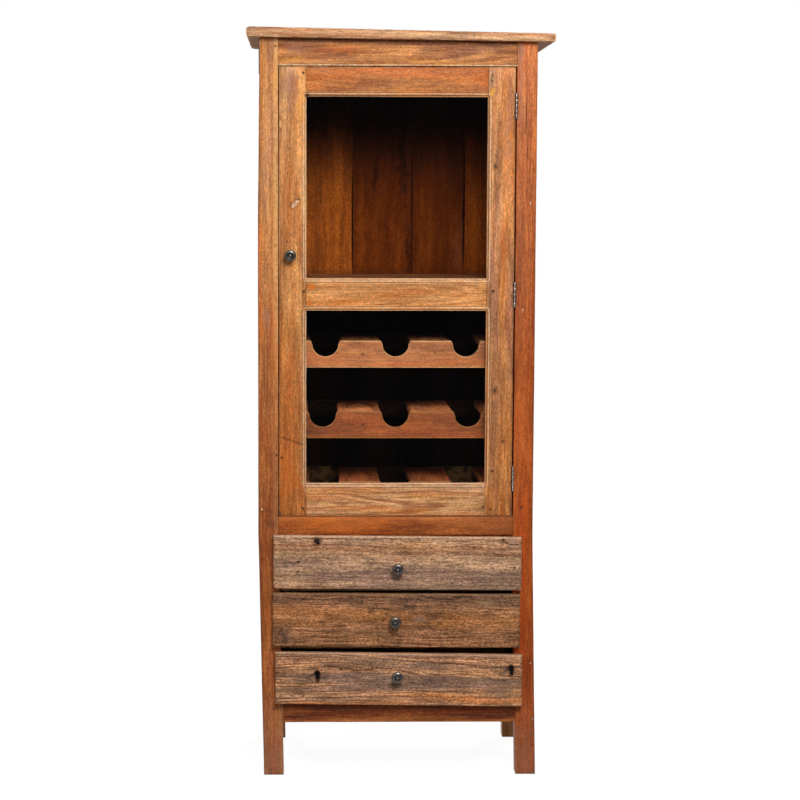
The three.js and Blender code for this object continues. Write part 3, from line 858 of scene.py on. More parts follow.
left_post_wood = wood(
    "honey post wood", (157, 83, 35), (244, 175, 107), warm=(221, 125, 47), warm_share=0.6,
    cool=(174, 109, 76), rings=150, heart=0.09, taper=0.012, wander=0.01, ring_share=0.42, contrast=0.85,
    wear=0.35, fade=(1.62, 0.62, (0.76, 0.54, 0.41, 1)), centre=(TOP_LEFT / 2, BODY_LEFT + POST / 2),
    marks=[("nail", 1.6648, -0.2804, 0.0022), ("chip", 0.6203, -0.3116, (0.004, 0.003)),
           ("nail", 0.7448, -0.2773, 0.0022), ("nail", 0.156, -0.293, 0.002),
           ("mauve", 1.40, -0.305, (0.16, 0.010), 0.4), ("orange", 1.05, -0.286, (0.22, 0.009), 0.3),
           ("yellow", 1.60, -0.281, (0.07, 0.008), 0.55), ("yellow", 1.33, -0.285, (0.10, 0.006), 0.4),
           ("mauve", 1.06, -0.300, (0.03, 0.010), 0.45), ("stain", 0.585, -0.296, (0.012, 0.02), 0.35),
           ("dust", 0.0, -0.297, (0.17, 0.09), 0.32)])
right_post_wood = wood(
    "red post wood", (165, 80, 30), (242, 146, 73), warm=(232, 114, 37), warm_share=0.6,
    cool=(172, 100, 64), cool_share=0.28, rings=140, heart=0.08, taper=0.01, wander=0.01, ring_share=0.36,
    contrast=0.78, speckle=0.26, mottle=0.12, vessels=0.3, wear=0.35,
    fade=(1.60, 0.85, (0.74, 0.54, 0.38, 1)),
    centre=(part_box("front_post_right")[1].z / 2, INNER_RIGHT + POST / 2),
    marks=[("crack", 1.508, 0.2831, (0.042, 0.0009)), ("scratch", 1.3171, 0.2949, (0.004, 0.0014)),
           ("scratch", 1.0759, 0.2794, (0.003, 0.0012)), ("nail", 0.624, 0.2812, 0.002),
           ("scratch", 0.262, 0.2995, (0.002, 0.0022)), ("scratch", 0.131, 0.303, (0.0022, 0.002)),
           ("dust", 0.0, 0.285, (0.17, 0.09), 0.28), ("mauve", 1.57, 0.273, (0.09, 0.006), 0.5),
           ("mauve", 1.654, 0.269, (0.036, 0.011), 0.7), ("stain", 1.660, 0.266, (0.016, 0.006), 0.3),
           ("crack", 1.43, 0.286, (0.018, 0.0008), 0.7)])
# The rear posts take pale tones as painted light, because their legs stand in shade under the cabinet, and
# their fade paints them darker again above the legs as painted shade.
rear_post_wood = wood(
    "rear post wood", (214, 130, 76), (252, 190, 128), cool=(206, 140, 104), rings=150, heart=0.07,
    taper=0.012, mottle=0.2, fade=(0.15, 0.24, (0.30, 0.24, 0.22, 1)),
    centre=middle_of("rear_post_left", "zx"))
print("woods of the posts:", [made.name for made in (left_post_wood, right_post_wood, rear_post_wood)])

# %% [markdown]
# The rails are redder than the posts, and the apron is the darkest board of the front. The top is
# bleached and dry, so it takes pale tones, little tinge and wide worn edges.

# %% Woods of the rails and the top
waist_wood = wood(
    "waist rail wood", (128, 56, 19), (211, 123, 56), warm=(211, 108, 34), warm_share=0.6,
    cool=(131, 69, 45), rings=120, wander=0.014, contrast=0.9)
apron_wood = wood(
    "apron wood", (98, 30, 6), (204, 122, 62), warm=(173, 75, 21), cool=(108, 47, 23), rings=110,
    wander=0.014, contrast=1.1, mottle=0.2)
header_wood = wood(
    "header wood", (128, 60, 16), (228, 154, 84), warm=(193, 97, 24), warm_share=0.6, cool=(146, 85, 41),
    cool_share=0.5, rings=190, taper=0.04, contrast=1.15, mottle=0.2, wear=0.8, worn=(238, 192, 142),
    wear_width=0.0014, grime=0.6, centre=middle_of("header_rail", "xz"),
    marks=[("mauve", -0.235, 1.655, (0.03, 0.010), 0.35), ("yellow", -0.24, 1.634, (0.04, 0.008), 0.55),
           ("orange", -0.13, 1.660, (0.06, 0.010), 0.45), ("yellow", 0.05, 1.632, (0.12, 0.007), 0.45),
           ("mauve", 0.17, 1.66, (0.05, 0.012), 0.25)])
top_wood = wood(
    "top board wood", (176, 116, 74), (240, 190, 138), tinge=0.15, warm=(220, 144, 94),
    cool=(186, 142, 112), rings=210, heart=0.04, taper=0.04, wander=0.014, contrast=1.2, mottle=0.24,
    wear_width=0.003, wear=0.7, worn=(244, 204, 170), roughness=0.56,
    marks=[("stain", 0.1623, -0.2105, (0.004, 0.02), 0.35)])
print("materials:", len(bpy.data.materials))

# %% [markdown]
# ## The top board
# One old board covers the whole cabinet. It is thinner at its right end and lies over a frame that
# falls to the right, so its points are moved after the flat board is made: each height becomes a
# share between the sloping underside and the sloping top.

# %% Top board
top_low, top_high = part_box("top_board")


def on_slope(point):
    share = (point.x - top_low.x) / (top_high.x - top_low.x)
    under = under_top(point.x) + SEAT
    over = top_high.z - TOP_FALL * share
    rise = (point.z - top_low.z) / (top_high.z - top_low.z)
    return Vector((point.x, point.y, under + (over - under) * rise))


board("top_board_old", top_low, top_high, "xyz", "carcass", "top_wood", top_wood, ["top_board"],
      edges=(0.009, 0.005, 0.0022, 0.004), step=0.02, rough=0.0006, place=on_slope)
print("the top falls %.0f mm over %.0f mm" % (TOP_FALL * 1000, (top_high.x - top_low.x) * 1000))

# %% [markdown]
# ## Posts and rails
# Four square posts carry everything, and the front rails stand between them, flush with their
# faces. Where a rail butts a post both edges stay crisp, so the joint is only a thin dark line.

# %% Posts
FOOT_ROUND, HEAD_ROUND, OUTER_ROUND, INNER_ROUND = 0.004, 0.0008, 0.0026, 0.0011
TAPER_FROM, TAPER_BY = 1.27, 0.0045
RUBBED_WIDTH, RUBBED_FADE = 0.0125, 0.004


def in_left_post(point):
    """The left post's outer face is worn in towards its head."""
    rise = max(0.0, (point.z - TAPER_FROM) / (TOP_LEFT - TAPER_FROM))
    aside = 1.0 - (point.x - BODY_LEFT) / POST
    return in_frame(point + Vector((TAPER_BY * rise * aside, 0.0, 0.0)))


def rubbed_inside(z, x):
    """The left post is rubbed along the edge that the door closes against, most of all high up."""
    high_up = min(1.0, max(0.25, (z - 0.85) / 0.3))
    return 0.55 * high_up * min(1.0, max(0.0, (RUBBED_WIDTH - INNER_LEFT + x) / RUBBED_FADE))


left_post_extras = {
    "place": in_left_post, "tint": rubbed_inside,
    "lines": ((), (POST / 2 - RUBBED_WIDTH, POST / 2 - RUBBED_WIDTH + RUBBED_FADE)),
}
for side, x, front_wood in (("left", BODY_LEFT, left_post_wood), ("right", INNER_RIGHT, right_post_wood)):
    inner = "r" if side == "left" else "l"
    sides = (OUTER_ROUND, INNER_ROUND) if side == "left" else (INNER_ROUND, OUTER_ROUND)
    for end, y, post_wood in (("front", FACE, front_wood), ("rear", BACK - POST, rear_post_wood)):
        node = end + "_post_" + side
        extras = left_post_extras if node == "front_post_left" else {"place": in_frame}
        board(node + "_board", (x, y, 0.0), (x + POST, y + POST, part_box(node)[1].z), "zxy", "carcass",
              "post_wood", post_wood, [node], edges=(FOOT_ROUND, HEAD_ROUND, *sides), snug="e" + inner,
              step=0.018, rough=0.0004, **extras)
print("posts of %.0f by %.0f mm" % (POST * 1000, POST * 1000))

# %% [markdown]
# The front rails differ only in their wood, in where they are painted paler or darker, as rubbed
# places, painted light and painted shade, and in the rows of points that let those tints change
# sharply. So a table names these, and one loop makes the rails.

# %% Header, waist rail and apron
def header_tint(x, z):
    """The header's lower edge is painted pale, partly as rubbed by the door and partly as painted highlight,
    and its top carries the painted shadow of the top board.
    """
    # The pale lower edge is partly rubbed and partly painted highlight.
    rubbed = min(1.0, max(0.0, (0.0046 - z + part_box("header_rail")[0].z) / 0.002))
    # Under the top board the tint is a painted shadow.
    return rubbed - 0.6 * max(0.0, 1.0 - (under_top(x) - z) / 0.009)


def waist_tint(x, z):
    """The waist rail is painted lighter at its top and darker toward the drawers, as painted light and
    shade.
    """
    return 0.35 - 0.8 * (WAIST_TOP - z) / (WAIST_TOP - WAIST)


def apron_tint(x, z):
    """The apron carries a painted shadow under the lowest drawer and is paler toward its lower edge."""
    rise = (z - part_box("front_apron")[0].z) * 1000
    return -0.5 if rise > 16 else 0.5 - rise / 16 + max(0.0, 0.45 - rise / 12)


front_rails = {
    "header_rail": (header_wood, header_tint, "ser", (0.0012, 0.0006), (0.0026, 0.0046, 0.0400, 0.0440)),
    "waist_rail": (waist_wood, waist_tint, "se", (0.0016, 0.0016), (0.010, 0.020, 0.030)),
    "front_apron": (apron_wood, apron_tint, "se", (0.0016, 0.0016), (0.004, 0.008, 0.016)),
}
for node, (finish, rubbing, joined, free, rows) in front_rails.items():
    low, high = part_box(node)
    low.x, high.x = RAIL_LEFT, RAIL_RIGHT
    board(node + "_board", low, high, "xzy", "carcass", "rail_wood", finish, [node],
          edges=(0, 0, *free), snug=joined, rough=0.0004, place=in_frame,
          tint=rubbing, lines=((), [low.z - (low.z + high.z) / 2 + row for row in rows]))
print("front rails of %.0f mm length" % ((RAIL_RIGHT - RAIL_LEFT) * 1000))

# %% [markdown]
# The back is five upright boards, seen through the upper glass. They are red and dark, and under
# the top board they vanish in shade, which is laid on as one long soft patch. Below the shelf they
# fade almost to black, and streaks beside some seams are darkened, both as painted shade. Some seams
# look open over part of their length, and painted shade in the wood's own marks draws those black
# lines. Outside, where no wax ever came, the same boards are pale and dry.

# %% Woods of the sides and the back
side_wood = wood(
    "side wood", (136, 76, 42), (196, 128, 78), warm=(198, 108, 46), cool=(134, 92, 72), rings=170,
    taper=0.03, wander=0.014, mottle=0.24, wear_width=0.0022)
BACK_SEAMS = (0.0, 0.075, 0.325, 0.594, 0.83, 1.0)
BACK_SHARES = ((1.6, 2.0, 2.0), (1.95, 2.75, 3.6), (0.9, 1.0, 0.6), (0.8, 0.9, 0.4), (1.5, 1.9, 1.5))
# For each seam drawn open with painted shade: the middle of the open length, half of that length, and how
# dark it is
SEAM_GAPS = {2: (1.27, 0.14, 1.0), 3: (1.29, 0.19, 0.95), 4: (1.31, 0.17, 1.0)}
BACK_MARKS = {
    2: [("soot", 1.42, -0.026, (0.20, 0.014), 0.6), ("soot", 1.38, -0.086, (0.05, 0.010), 0.5),
        ("soot", 1.20, -0.007, (0.08, 0.007), 0.6), ("orange", 1.22, -0.124, (0.15, 0.013), 0.09),
        ("soot", 1.24, -0.060, (0.10, 0.010), 0.3)],
    3: [("grey", 1.20, -0.012, (0.10, 0.014), 0.05), ("soot", 1.22, -0.119, (0.09, 0.007), 0.45)],
    4: [("soot", 1.26, -0.083, (0.14, 0.005), 0.3)],
}
seams = [RAIL_LEFT + share * (RAIL_RIGHT - RAIL_LEFT) for share in BACK_SEAMS]
back_woods = []
for number, by in enumerate(BACK_SHARES):
    middle = (seams[number] + seams[number + 1]) / 2
    back_marks = [("shade", 1.575 if number == 1 else 1.555, middle, (0.238, 0.60), 0.97)]
    for kind, level, aside, *rest in BACK_MARKS.get(number, ()):
        back_marks.append((kind, level, seams[number + 1] + aside, *rest))
    for seam in (number, number + 1):
        if seam in SEAM_GAPS:
            level, reach, share = SEAM_GAPS[seam]
            back_marks.append(("seam", level, seams[seam], (reach, 0.0021), share))
    dark, light, warm, cool = [lighter(tone(*colour), by) for colour in (
        (50, 15, 2), (122, 50, 8), (138, 62, 12), (48, 18, 5))]
    back_woods.append(wood(
        "back wood %d" % (number + 1), dark, light, warm=warm, warm_share=0.25, cool=cool, cool_share=0.3,
        rings=190, heart=0.06, taper=0.02, wander=0.014, ring_share=0.35, contrast=0.33, tinge=0.2,
        speckle=0.34, vessels=0.3, mottle=0.14, roughness=0.8, coat=0.0, specular=0.05, wear=0.0,
        grime=0.0, fade=(1.17, 1.10, (0.03, 0.02, 0.02, 1)),
        centre=(middle_of("back_panel", "zx")[0], middle), marks=back_marks, outside=(140, 96, 62)))
print("back boards, widths in mm:", [round((b - a) * 1000) for a, b in zip(seams, seams[1:])])
outer_back_wood = wood(
    "rear rail wood", (96, 48, 24), (156, 98, 56), cool=(92, 60, 44), rings=150, heart=0.06, taper=0.035,
    wander=0.02, mottle=0.3, roughness=0.66, coat=0.0)

# %% [markdown]
# The rack, its lanes, the shelf and the drawer boxes are plainer boards. The tiers of the rack lie
# in different shade, and lamps alone would make them too even, so each tier multiplies one set of
# tones by its own three numbers.

# %% Woods of the inside
# Two patches on the lowest batten are painted light, where light through the outer notches falls on it.
LOW_MOSS = (("moss", -0.165, 0.004, (0.05, 0.03), 0.4), ("moss", 0.168, 0.004, (0.05, 0.03), 0.3))
rack_woods = []
for number, by in ((1, (0.84, 0.79, 0.68)), (2, (0.46, 0.31, 0.14)), (3, (0.50, 0.34, 0.23))):
    dark, light, warm, cool, pale = [lighter(tone(*colour), by) for colour in (
        (132, 74, 38), (198, 128, 80), (190, 104, 50), (140, 88, 62), (236, 190, 140))]
    rack_woods.append(wood(
        "rack wood %d" % number, dark, light, warm=warm, cool=cool, rings=120, taper=0.03,
        wander=0.014, mottle=0.12, vessels=0.3, wear_width=0.0014, wear=0.55, roughness=0.6, coat=0.02,
        worn=pale, grime=0.3,
        marks=[("nail", -0.075, 0.0, 0.0024, 0.8), ("nail", 0.09, 0.003, 0.002, 0.6)]))
lane_wood = wood(
    "lane board wood", (88, 50, 28), (154, 104, 68), cool=(98, 66, 44), rings=200, wander=0.014,
    mottle=0.3, wear=0.4, roughness=0.66, coat=0.0)
lane_woods = []
for number, by in ((1, (1.3, 1.1, 0.9)), (2, (2.4, 1.9, 1.7)), (3, (1.3, 0.8, 0.55))):
    dark, light, cool = [lighter(tone(*colour), by) for colour in (
        (88, 50, 28), (154, 104, 68), (98, 66, 44))]
    # Each lane board's fade darkens it toward the back, as painted shade.
    lane_woods.append(wood(
        "lane board wood %d" % number, dark, light, cool=cool, rings=120, taper=0.04,
        wander=0.008, mottle=0.2, wear_width=0.0014, wear=0.3, roughness=0.7, coat=0.0, specular=0.15,
        fade=(-0.12, 0.12, (0.28, 0.22, 0.20, 1))))
# The battens' near-black tones are painted shade, for the back of the rack where little light reaches.
batten_woods = []
for name, cool, moss in (("batten wood", (24, 10, 5), ()), ("low batten wood", (24, 12, 6), LOW_MOSS)):
    batten_woods.append(wood(
        name, (16, 5, 2), (36, 15, 8), cool=cool, rings=200, mottle=0.3, wear=0.1, roughness=0.8,
        coat=0.0, specular=0.08, marks=moss))
shelf_wood = wood(
    "shelf wood", (104, 54, 24), (154, 92, 46), cool=(110, 66, 40), rings=160, taper=0.03, mottle=0.26,
    wear=0.6, roughness=0.62, coat=0.02)
plain_wood = wood(
    "drawer box wood", (150, 106, 66), (204, 160, 110), tinge=0.25, cool=(150, 118, 86), rings=180,
    heart=0.06, taper=0.03, mottle=0.2, roughness=0.66, coat=0.0, wear_width=0.0014, wear=0.3)
print("materials:", len(bpy.data.materials))

# %% [markdown]
# ## Sides
# The photograph does not show the sides, so they are made as such a cabinet usually is: three rails
# between the posts, and in each of the two fields three upright planks set a little behind them.

# %% Side frames
SIDE_THICK = 0.022
SIDE_RECESS = 0.008
SIDE_RAIL = 0.060
SIDE_TOP_RAIL = 0.070
PLANKS = 3

for side in ("left", "right"):
    node = "side_frame_" + side
    low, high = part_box(node)
    left_x, right_x = low.x, low.x + SIDE_THICK
    plank_left = left_x + (SIDE_RECESS if side == "left" else 0.0)
    plank_right = right_x - (SIDE_RECESS if side == "right" else 0.0)
    head = under_top(BODY_RIGHT) - SIDE_TOP_RAIL
    rails = {"foot": (low.z, low.z + SIDE_RAIL), "middle": (WAIST_TOP - SIDE_RAIL, WAIST_TOP),
             "head": (head, high.z)}
    for part, (bottom, top) in rails.items():
        board(f"side_rail_{side}_{part}", (left_x, low.y, bottom), (right_x, high.y, top), "yzx",
              "carcass", "side_wood", side_wood, [node], edges=(0, 0, 0.0018, 0.0018), snug="se",
              place=in_frame)
    fields = {"lower": (low.z + SIDE_RAIL, WAIST_TOP - SIDE_RAIL), "upper": (WAIST_TOP, head)}
    width = (high.y - low.y) / PLANKS
    for part, (bottom, top) in fields.items():
        for k in range(PLANKS):
            near, far = low.y + k * width, low.y + (k + 1) * width
            board(f"side_plank_{side}_{part}_{k + 1}", (plank_left, near, bottom),
                  (plank_right, far, top), "zyx", "carcass", "side_wood", side_wood, [node],
                  edges=(0, 0, 0.0016, 0.0016), snug="se", rough=0.0, step=0.03, place=in_frame)
print("planks in each side:", PLANKS * len(fields))

# %% [markdown]
# ## Back
# The back boards could stand apart at their seams, but then daylight would show through the glass.
# So they touch behind a small V, and the two outer boards reach into a groove in the rear posts.
# A rail crosses the back at its head and another at its foot.

# %% Back boards and rear rails
GROOVE = 0.0012
low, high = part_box("back_panel")
for k, finish in enumerate(back_woods):
    left = seams[k] - (GROOVE if k == 0 else 0.0)
    right = seams[k + 1] + (GROOVE if k == len(back_woods) - 1 else 0.0)
    board(f"back_board_{k + 1}", (left, low.y, low.z), (right, high.y, high.z), "zxy", "carcass",
          "back_wood", finish, ["back_panel"], edges=(0.0008, 0.0008, 0.0020, 0.0020), rough=0.0,
          step=0.03, place=in_frame)
for node in ("rear_top_rail", "rear_bottom_rail"):
    low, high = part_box(node)
    low.x, high.x = RAIL_LEFT, RAIL_RIGHT
    board(node + "_board", low, high, "xzy", "carcass", "rail_wood", outer_back_wood, [node],
          edges=(0, 0, 0.0015, 0.0015), snug="se", place=in_frame)
print("boards so far", board_count)

# %% [markdown]
# ## Shelf, floor and drawer decks
# These boards are notched round the four posts. Their outline is drawn in plan from the boxes of
# the CAD nodes, so the notches fit wherever the posts stand.

# %% Notched boards
def notched_plan(node):
    low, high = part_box(node)
    shift = lean_at((low.z + high.z) / 2)
    left, right = RAIL_LEFT + shift, RAIL_RIGHT + shift
    front, back = POST_BACK + SEAT, BACK - POST - SEAT
    return [(left, low.y), (right, low.y), (right, front), (high.x, front), (high.x, back), (right, back),
            (right, high.y), (left, high.y), (left, back), (low.x, back), (low.x, front), (left, front)]


shelves = {"display_shelf": ("rack_wood", shelf_wood), "cabinet_floor": ("rack_wood", lane_wood),
           "drawer_deck_1": ("box_wood", plain_wood), "drawer_deck_2": ("box_wood", plain_wood),
           "drawer_deck_3": ("box_wood", plain_wood)}
for node, (slot_name, finish) in shelves.items():
    low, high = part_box(node)
    shaped_board(node + "_board", notched_plan(node), high.z, low.z, "xyz", "carcass", slot_name, finish,
                 [node], edge=0.0012)
board("door_stop_block", *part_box("door_stop"), "zxy", "carcass", "rack_wood", lane_wood, ["door_stop"],
      edge=0.0012)
print("notched boards:", ", ".join(shelves))

# %% [markdown]
# ## Bottle rack
# A front rail with three round-bottomed notches carries the bodies of the bottles, and a plain
# batten at the back carries their necks. Level boards fill the lands between the notches. The
# notches flare a little at their mouths, as a rasp leaves them, and their rims are rubbed pale.

# %% Outline of a rack rail
NOTCH_PITCHES = {1: 0.161, 2: 0.167, 3: 0.163}
NOTCH_RADIUS = 0.031
NOTCH_DEPTH = 0.0365
ARC_STEPS = 28
FLARE = 0.0034
FLARE_DEPTH = 0.011
FLARE_STEPS = 6


def rail_outline(low, high, pitch):
    """Runs from the right end over three notches to the left end, and back below."""
    middle = (low.x + high.x) / 2
    springing = high.z - NOTCH_DEPTH + NOTCH_RADIUS
    start = math.asin((springing - high.z + FLARE_DEPTH) / NOTCH_RADIUS)
    mouth = NOTCH_RADIUS * math.cos(start)
    flare = [(mouth + FLARE * (k / FLARE_STEPS) ** 2, high.z - FLARE_DEPTH * (1 - k / FLARE_STEPS))
             for k in range(1, FLARE_STEPS + 1)]
    points = [(high.x, low.z), (high.x, high.z)]
    for centre in (middle + pitch, middle, middle - pitch):
        points += [(centre + x, z) for x, z in reversed(flare)]
        for k in range(ARC_STEPS + 1):
            a = start + (math.pi - 2 * start) * k / ARC_STEPS
            points.append((centre + NOTCH_RADIUS * math.cos(a), springing - NOTCH_RADIUS * math.sin(a)))
        points += [(centre - x, z) for x, z in flare]
    return points + [(low.x, high.z), (low.x, low.z)]


print("notches of %.0f mm for the bottles" % (2000 * NOTCH_RADIUS))

# %% [markdown]
# Each tier has its rail, its batten, two lane boards level with the rail's top and two end boards
# against the sides. The three tiers differ in their woods and in the pitch of their notches.

# %% Rack rails, battens and boards
for tier, finish in zip((1, 2, 3), rack_woods):
    node = f"rack_rail_{tier}"
    low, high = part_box(node)
    shaped_board(node + "_board", rail_outline(low, high, NOTCH_PITCHES[tier]), low.y, high.y, "xzy",
                 "carcass", "rack_wood", finish, [node], edge=0.0011, rim=0.0014, rubbed=0.62)
    node = f"rack_batten_{tier}"
    board(node + "_board", *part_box(node), "xzy", "carcass", "rack_wood", batten_woods[tier == 3],
          [node], edge=0.0015)
    for kind in ("rack_board", "rack_end"):
        for side in ("left", "right"):
            node = f"{kind}_{tier}_{side}"
            board(node + "_plank", *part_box(node), "yxz", "carcass", "rack_wood", lane_woods[tier - 1],
                  [node], edge=0.0018)
print("boards so far", board_count)

# %% [markdown]
# ## The door
# Two stiles and three rails hold two panes. Their inner edges carry a moulding: a fine groove, a
# bead, and a roll that drops to the glass. It could be separate strips, but on the real door it is
# planed into the frame, so here it is a relief in the boards, whose depth follows the distance to
# the nearest opening. The same distance sets where the moulding is pale, as rubbed edges and
# painted highlights, and where it is dark, as painted shade in its quirk and groove, and it cuts
# the rebate that the glass sits in.

# %% Door places and the moulding
DOOR_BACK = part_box("door_stile_left")[1].y
OPEN_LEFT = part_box("door_stile_left")[1].x
OPEN_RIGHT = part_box("door_stile_right")[0].x
OPENINGS = {
    "lower": (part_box("door_bottom_rail")[1].z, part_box("door_mid_rail")[0].z),
    "upper": (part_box("door_mid_rail")[1].z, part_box("door_top_rail")[0].z),
}
REBATE_WIDTH, REBATE_DEPTH = 0.008, 0.010
# Distance from the opening, depth below the face, both in millimetres, and the tint there: pale on
# the lip and the roll, as rubbed edges and painted highlight, and dark in the quirk and the groove,
# as painted shade
ROLL = ((0.0, 4.4, 0.9), (0.5, 3.3, 1.0), (1.9, 3.0, 0.9), (2.3, 3.2, -0.4), (2.9, 2.7, -0.6),
        (3.5, 1.7, 0.0), (4.4, 1.0, 0.3), (6.0, 0.5, 0.6), (7.4, 0.25, 0.7), (8.2, 0.5, 0.2),
        (8.8, 1.1, -0.45), (9.5, 1.1, -0.45), (10.2, 0.4, 0.1), (10.8, 0.0, 0.3), (12.0, 0.0, 0.0))


def to_opening(x, z):
    """The distance from a point of the door's face to the nearest opening, in millimetres."""
    best = 1.0
    for low, high in OPENINGS.values():
        aside = max(OPEN_LEFT - x, x - OPEN_RIGHT, 0.0)
        beyond = max(low - z, z - high, 0.0)
        best = min(best, math.hypot(aside, beyond))
    return best * 1000


def roll(distance, column):
    """Reads the moulding's depth (column 1) or tint (column 2) at a distance in millimetres."""
    for near, far in zip(ROLL, ROLL[1:]):
        if distance <= far[0]:
            share = (distance - near[0]) / (far[0] - near[0])
            return near[column] + (far[column] - near[column]) * share
    return 0.0


def moulding(x, z):
    return roll(to_opening(x, z), 1) / 1000


def moulding_tint(x, z):
    """Pale and dark as the table gives, and painted shade on the right stile and on the rail above each
    opening, where the moulding faces away from the lamp.
    """
    distance = to_opening(x, z)
    above = any(high < z < high + 0.02 for low, high in OPENINGS.values())
    dirty = 0.75 if above or x > OPEN_RIGHT else 0.0
    return roll(distance, 2) - dirty * max(0.0, 1.0 - distance / 6.0)


def glass_rebate(x, z):
    return REBATE_DEPTH if to_opening(x, z) < REBATE_WIDTH * 1000 else 0.0


def swapped(shape):
    """Stiles run upward, so their boards give z first."""
    return lambda z, x: shape(x, z)


MOULD_STOPS = [row[0] / 1000 for row in ROLL] + [REBATE_WIDTH - 0.0001, REBATE_WIDTH + 0.0001]
print("moulding %.0f mm wide and %.1f mm deep" % (ROLL[-1][0], ROLL[0][1]))

# %% [markdown]
# The stiles are the boards that the eye meets first, so they carry the most marks. The left one
# has a chip beside the glass, drawn as three flakes with cracks round them, and a row of short cuts
# low down. The right one has two knots and a crumbly, filled place near its head.

# %% Woods of the stiles
MOULDING_PALE = (250, 214, 170)
short_cuts = []
for k in range(6):
    short_cuts.append(("crack", 0.7858 - 0.0031 * k, -0.2655 + 0.0083 * k, (0.0016, 0.0048), 0.5))
# Both stiles fade toward the foot as painted shade.
left_stile_wood = wood(
    "left stile wood", (168, 98, 42), (248, 190, 121), worn=MOULDING_PALE, warm=(230, 144, 66), tinge=0.3,
    cool=(186, 126, 88), cool_share=0.35, rings=170, heart=0.07, taper=0.02, wander=0.016, contrast=0.88,
    wear=0.3, fade=(1.55, 0.75, (0.80, 0.58, 0.40, 1)), centre=middle_of("door_stile_left", "zx"),
    marks=[("mauve", 1.575, -0.250, (0.07, 0.018), 0.55), ("yellow", 1.535, -0.2225, (0.05, 0.008), 0.6),
           ("orange", 1.30, -0.248, (0.16, 0.007), 0.35), ("orange", 0.70, -0.250, (0.075, 0.022), 0.55),
           ("nail", 1.6054, -0.2175, 0.0022), ("chip", 1.4918, -0.2687, (0.010, 0.0034)),
           ("orange", 1.36, -0.264, (0.20, 0.007), 0.3), ("flake", 1.3098, -0.2412, (0.0052, 0.0048)),
           ("flake", 1.3148, -0.2362, (0.0056, 0.0048)), ("flake", 1.3200, -0.2306, (0.0046, 0.0048)),
           ("crack", 1.5555, -0.2122, (0.0045, 0.0018), 0.8),
           ("crack", 1.3108, -0.2458, (0.0044, 0.0013), 0.8),
           ("crack", 1.3152, -0.2366, (0.0036, 0.0008), 0.7),
           ("crack", 1.3238, -0.2290, (0.0014, 0.0050), 0.8), ("nail", 1.2290, -0.2536, 0.0017),
           ("nail", 1.1167, -0.2173, 0.0023), ("nail", 0.7391, -0.2657, 0.0023),
           ("nail", 0.6216, -0.2172, 0.0022), ("stain", 0.607, -0.2697, (0.010, 0.005), 0.7), *short_cuts])
right_stile_wood = wood(
    "right stile wood", (158, 90, 48), (234, 168, 108), worn=MOULDING_PALE, warm=(222, 134, 58),
    warm_share=0.6, cool=(168, 122, 100), cool_share=0.55, rings=190, shift=0.01, taper=0.03, wander=0.016,
    mottle=0.2, wear=0.3, fade=(1.55, 0.70, (1.0, 0.86, 0.62, 1)),
    knots=[(1.3997, 0.2151, 0.0032), (0.8929, 0.2178, 0.0042)], centre=middle_of("door_stile_right", "zx"),
    marks=[("grey", 1.592, 0.2050, (0.024, 0.009), 0.75), ("chip", 1.607, 0.2030, (0.0040, 0.0028), 0.6),
           ("chip", 1.595, 0.2072, (0.0040, 0.0024), 0.7), ("chip", 1.584, 0.2034, (0.0030, 0.0030), 0.6),
           ("crack", 1.601, 0.2062, (0.0060, 0.0012), 0.6),
           ("crack", 1.588, 0.2050, (0.0060, 0.0012), 0.6), ("filler", 1.5685, 0.2094, (0.0062, 0.0056)),
           ("filler", 1.5615, 0.2058, (0.0062, 0.0052)), ("mauve", 1.47, 0.243, (0.14, 0.008), 0.5),
           ("orange", 1.22, 0.236, (0.18, 0.007), 0.4), ("hole", 1.1188, 0.2119, 0.0025),
           ("nail", 0.7765, 0.236, 0.0021), ("nail", 0.708, 0.2131, 0.0023),
           ("nail", 0.620, 0.2101, 0.0021)])
print("materials:", len(bpy.data.materials))

# %% [markdown]
# The rails come from three different boards: a reddish one above, and two paler ones below, the
# middle one with orange filler at its left end.

# %% Woods of the door's rails
top_rail_wood = wood(
    "door top rail wood", (145, 72, 22), (219, 143, 71), worn=MOULDING_PALE, warm=(205, 104, 27),
    warm_share=0.6, cool=(159, 98, 59), rings=110, heart=0.06, taper=0.03, wander=0.02, contrast=0.85,
    mottle=0.15, centre=middle_of("door_top_rail", "xz"),
    marks=[("crack", -0.2070, 1.5560, (0.0040, 0.0026), 0.8)])
mid_rail_wood = wood(
    "door middle rail wood", (182, 106, 48), (250, 180, 108), worn=MOULDING_PALE, warm=(229, 132, 46),
    cool=(196, 137, 82), rings=260, heart=0.09, taper=0.012, wander=0.01, contrast=1.1, tinge=0.15,
    centre=middle_of("door_mid_rail", "xz"),
    marks=[("putty", -0.1984, 1.1285, (0.0085, 0.008)), ("putty", -0.2031, 1.0921, (0.004, 0.009), 0.8)])
low_rail_wood = wood(
    "door bottom rail wood", (169, 100, 56), (250, 192, 134), worn=MOULDING_PALE, warm=(227, 132, 57),
    cool=(184, 134, 108), rings=210, heart=0.03, shift=-0.01, taper=0.06, wander=0.02, contrast=1.25,
    mottle=0.18, centre=middle_of("door_bottom_rail", "xz"), knots=[(0.1942, 0.6253, 0.0042)])
print("materials:", len(bpy.data.materials))

# %% [markdown]
# The stiles run the whole height and the rails butt against them, so the rails' ends are snug. The
# moulding turns through the corners on the stiles, which need extra rows of points there.

